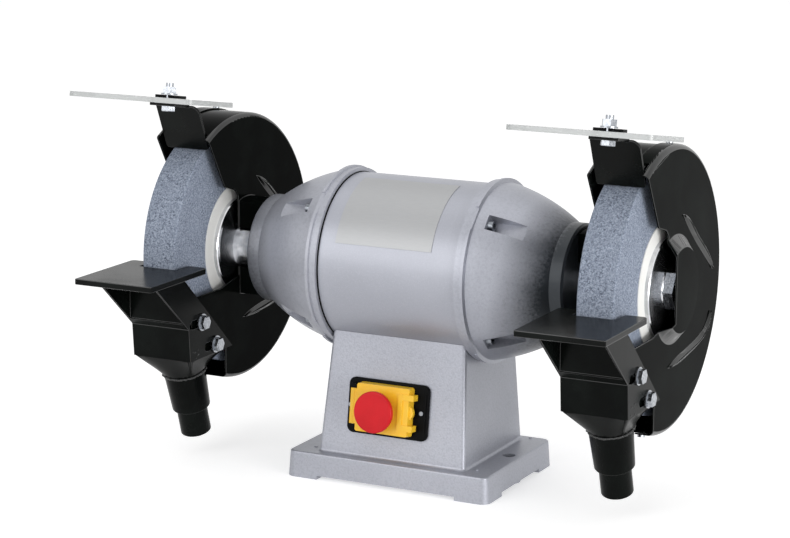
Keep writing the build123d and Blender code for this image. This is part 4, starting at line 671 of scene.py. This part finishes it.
def joint_shade_ring(name, x):
    """A thin black ring at the joint: painted shade for the shadow in the narrow gap there."""
    bpy.ops.object.select_all(action="DESELECT")
    top = (x, 0, SHAFT_HEIGHT + TUBE_RADIUS)
    bpy.ops.mesh.primitive_circle_add(
        vertices=SHADE_RING_SIDES, radius=SHADE_RING_RADIUS, location=top, rotation=(math.pi / 2, 0, 0))
    piece = bpy.context.object
    piece.name = name
    bpy.ops.object.mode_set(mode="EDIT")
    bpy.ops.mesh.select_all(action="SELECT")
    bpy.ops.mesh.spin(
        steps=SHADE_RING_STEPS, angle=math.tau, center=(0, 0, SHAFT_HEIGHT), axis=(1, 0, 0))
    bpy.ops.mesh.select_all(action="SELECT")
    bpy.ops.mesh.remove_doubles(threshold=WELD_WITHIN)
    bpy.ops.mesh.normals_make_consistent(inside=False)
    bpy.ops.object.mode_set(mode="OBJECT")
    bpy.ops.object.transform_apply(location=True, rotation=True, scale=True)
    bpy.ops.object.shade_smooth()
    # black, for the painted shade of the gap
    piece.data.materials.append(MATERIALS["black_plastic"])
    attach(piece, "stand")


joint_shade_ring("left_joint_shade_ring", -TUBE_END + SHADE_RING_RADIUS / 2)
joint_shade_ring("right_joint_shade_ring", TUBE_END - SHADE_RING_RADIUS / 2)


# ---- floor and light -----------------------------------------------------------

FLOOR_SIZE = 16
FLOOR_LIFT = 0.5
SKY_LEVEL = 0.55
# name, place, aim, width, height, watts
SOFTBOXES = [
    ("Front_left", (-1.1, -2.8, 1.4), (0, 0, 0.2), 2.2, 2.2, 28),
    ("Overhead", (0.0, 0.2, 2.4), (0, 0, 0.2), 2.4, 1.6, 6),
    ("Low_right", (2.3, -1.0, 0.4), (0, 0, 0.1), 1.4, 0.8, 26),
]


def seen_directly(tree):
    """1 for the lens and for what metal and glass show of the backdrop, else 0."""
    ray = add(tree, "ShaderNodeLightPath", {}).outputs
    shown = add(tree, "ShaderNodeMath", {
        0: ray["Is Camera Ray"], 1: ray["Is Glossy Ray"]}, operation="MAXIMUM")
    shown = add(tree, "ShaderNodeMath", {
        0: shown.outputs[0], 1: ray["Is Transmission Ray"]}, operation="MAXIMUM")
    return shown.outputs[0]


def build_stage():
    bpy.ops.object.select_all(action="DESELECT")
    bpy.ops.mesh.primitive_plane_add(size=FLOOR_SIZE, location=(0, 0, 0))
    floor = bpy.context.object
    floor.name = "Floor"
    # white paper, lifted so that it meets the white backdrop and keeps a soft shadow
    material, tree = new_material("White_paper")
    lift = add(tree, "ShaderNodeMath", {
        0: seen_directly(tree), 1: FLOOR_LIFT}, operation="MULTIPLY")
    shader = add(tree, "ShaderNodeBsdfPrincipled", {
        "Base Color": colour("#F2F2F2"), "Roughness": 0.95, "Specular IOR Level": 0.1,
        "Emission Color": (1, 1, 1, 1), "Emission Strength": lift.outputs[0]})
    add(tree, "ShaderNodeOutputMaterial", {"Surface": shader.outputs["BSDF"]})
    floor.data.materials.append(material)

    world = bpy.data.worlds.new("World")
    bpy.context.scene.world = world
    world.use_nodes = True
    tree = world.node_tree
    tree.nodes.clear()
    # the backdrop is plain white to the lens, but lights the room less than that
    level = add(tree, "ShaderNodeMapRange", {
        "Value": seen_directly(tree), "To Min": SKY_LEVEL, "To Max": 1.0})
    sky = add(tree, "ShaderNodeBackground", {
        "Color": (1, 1, 1, 1), "Strength": level.outputs[0]})
    add(tree, "ShaderNodeOutputWorld", {"Surface": sky.outputs[0]})

    for name, place, aim, width, height, power in SOFTBOXES:
        data = bpy.data.lights.new(name, "AREA")
        data.shape = "RECTANGLE"
        data.size = width
        data.size_y = height
        data.energy = power
        lamp = bpy.data.objects.new(name, data)
        bpy.context.scene.collection.objects.link(lamp)
        lamp.location = place
        lamp.rotation_euler = (Vector(aim) - Vector(place)).to_track_quat("-Z", "Y").to_euler()


place_camera()
build_stage()
bpy.context.scene.view_settings.view_transform = "Standard"
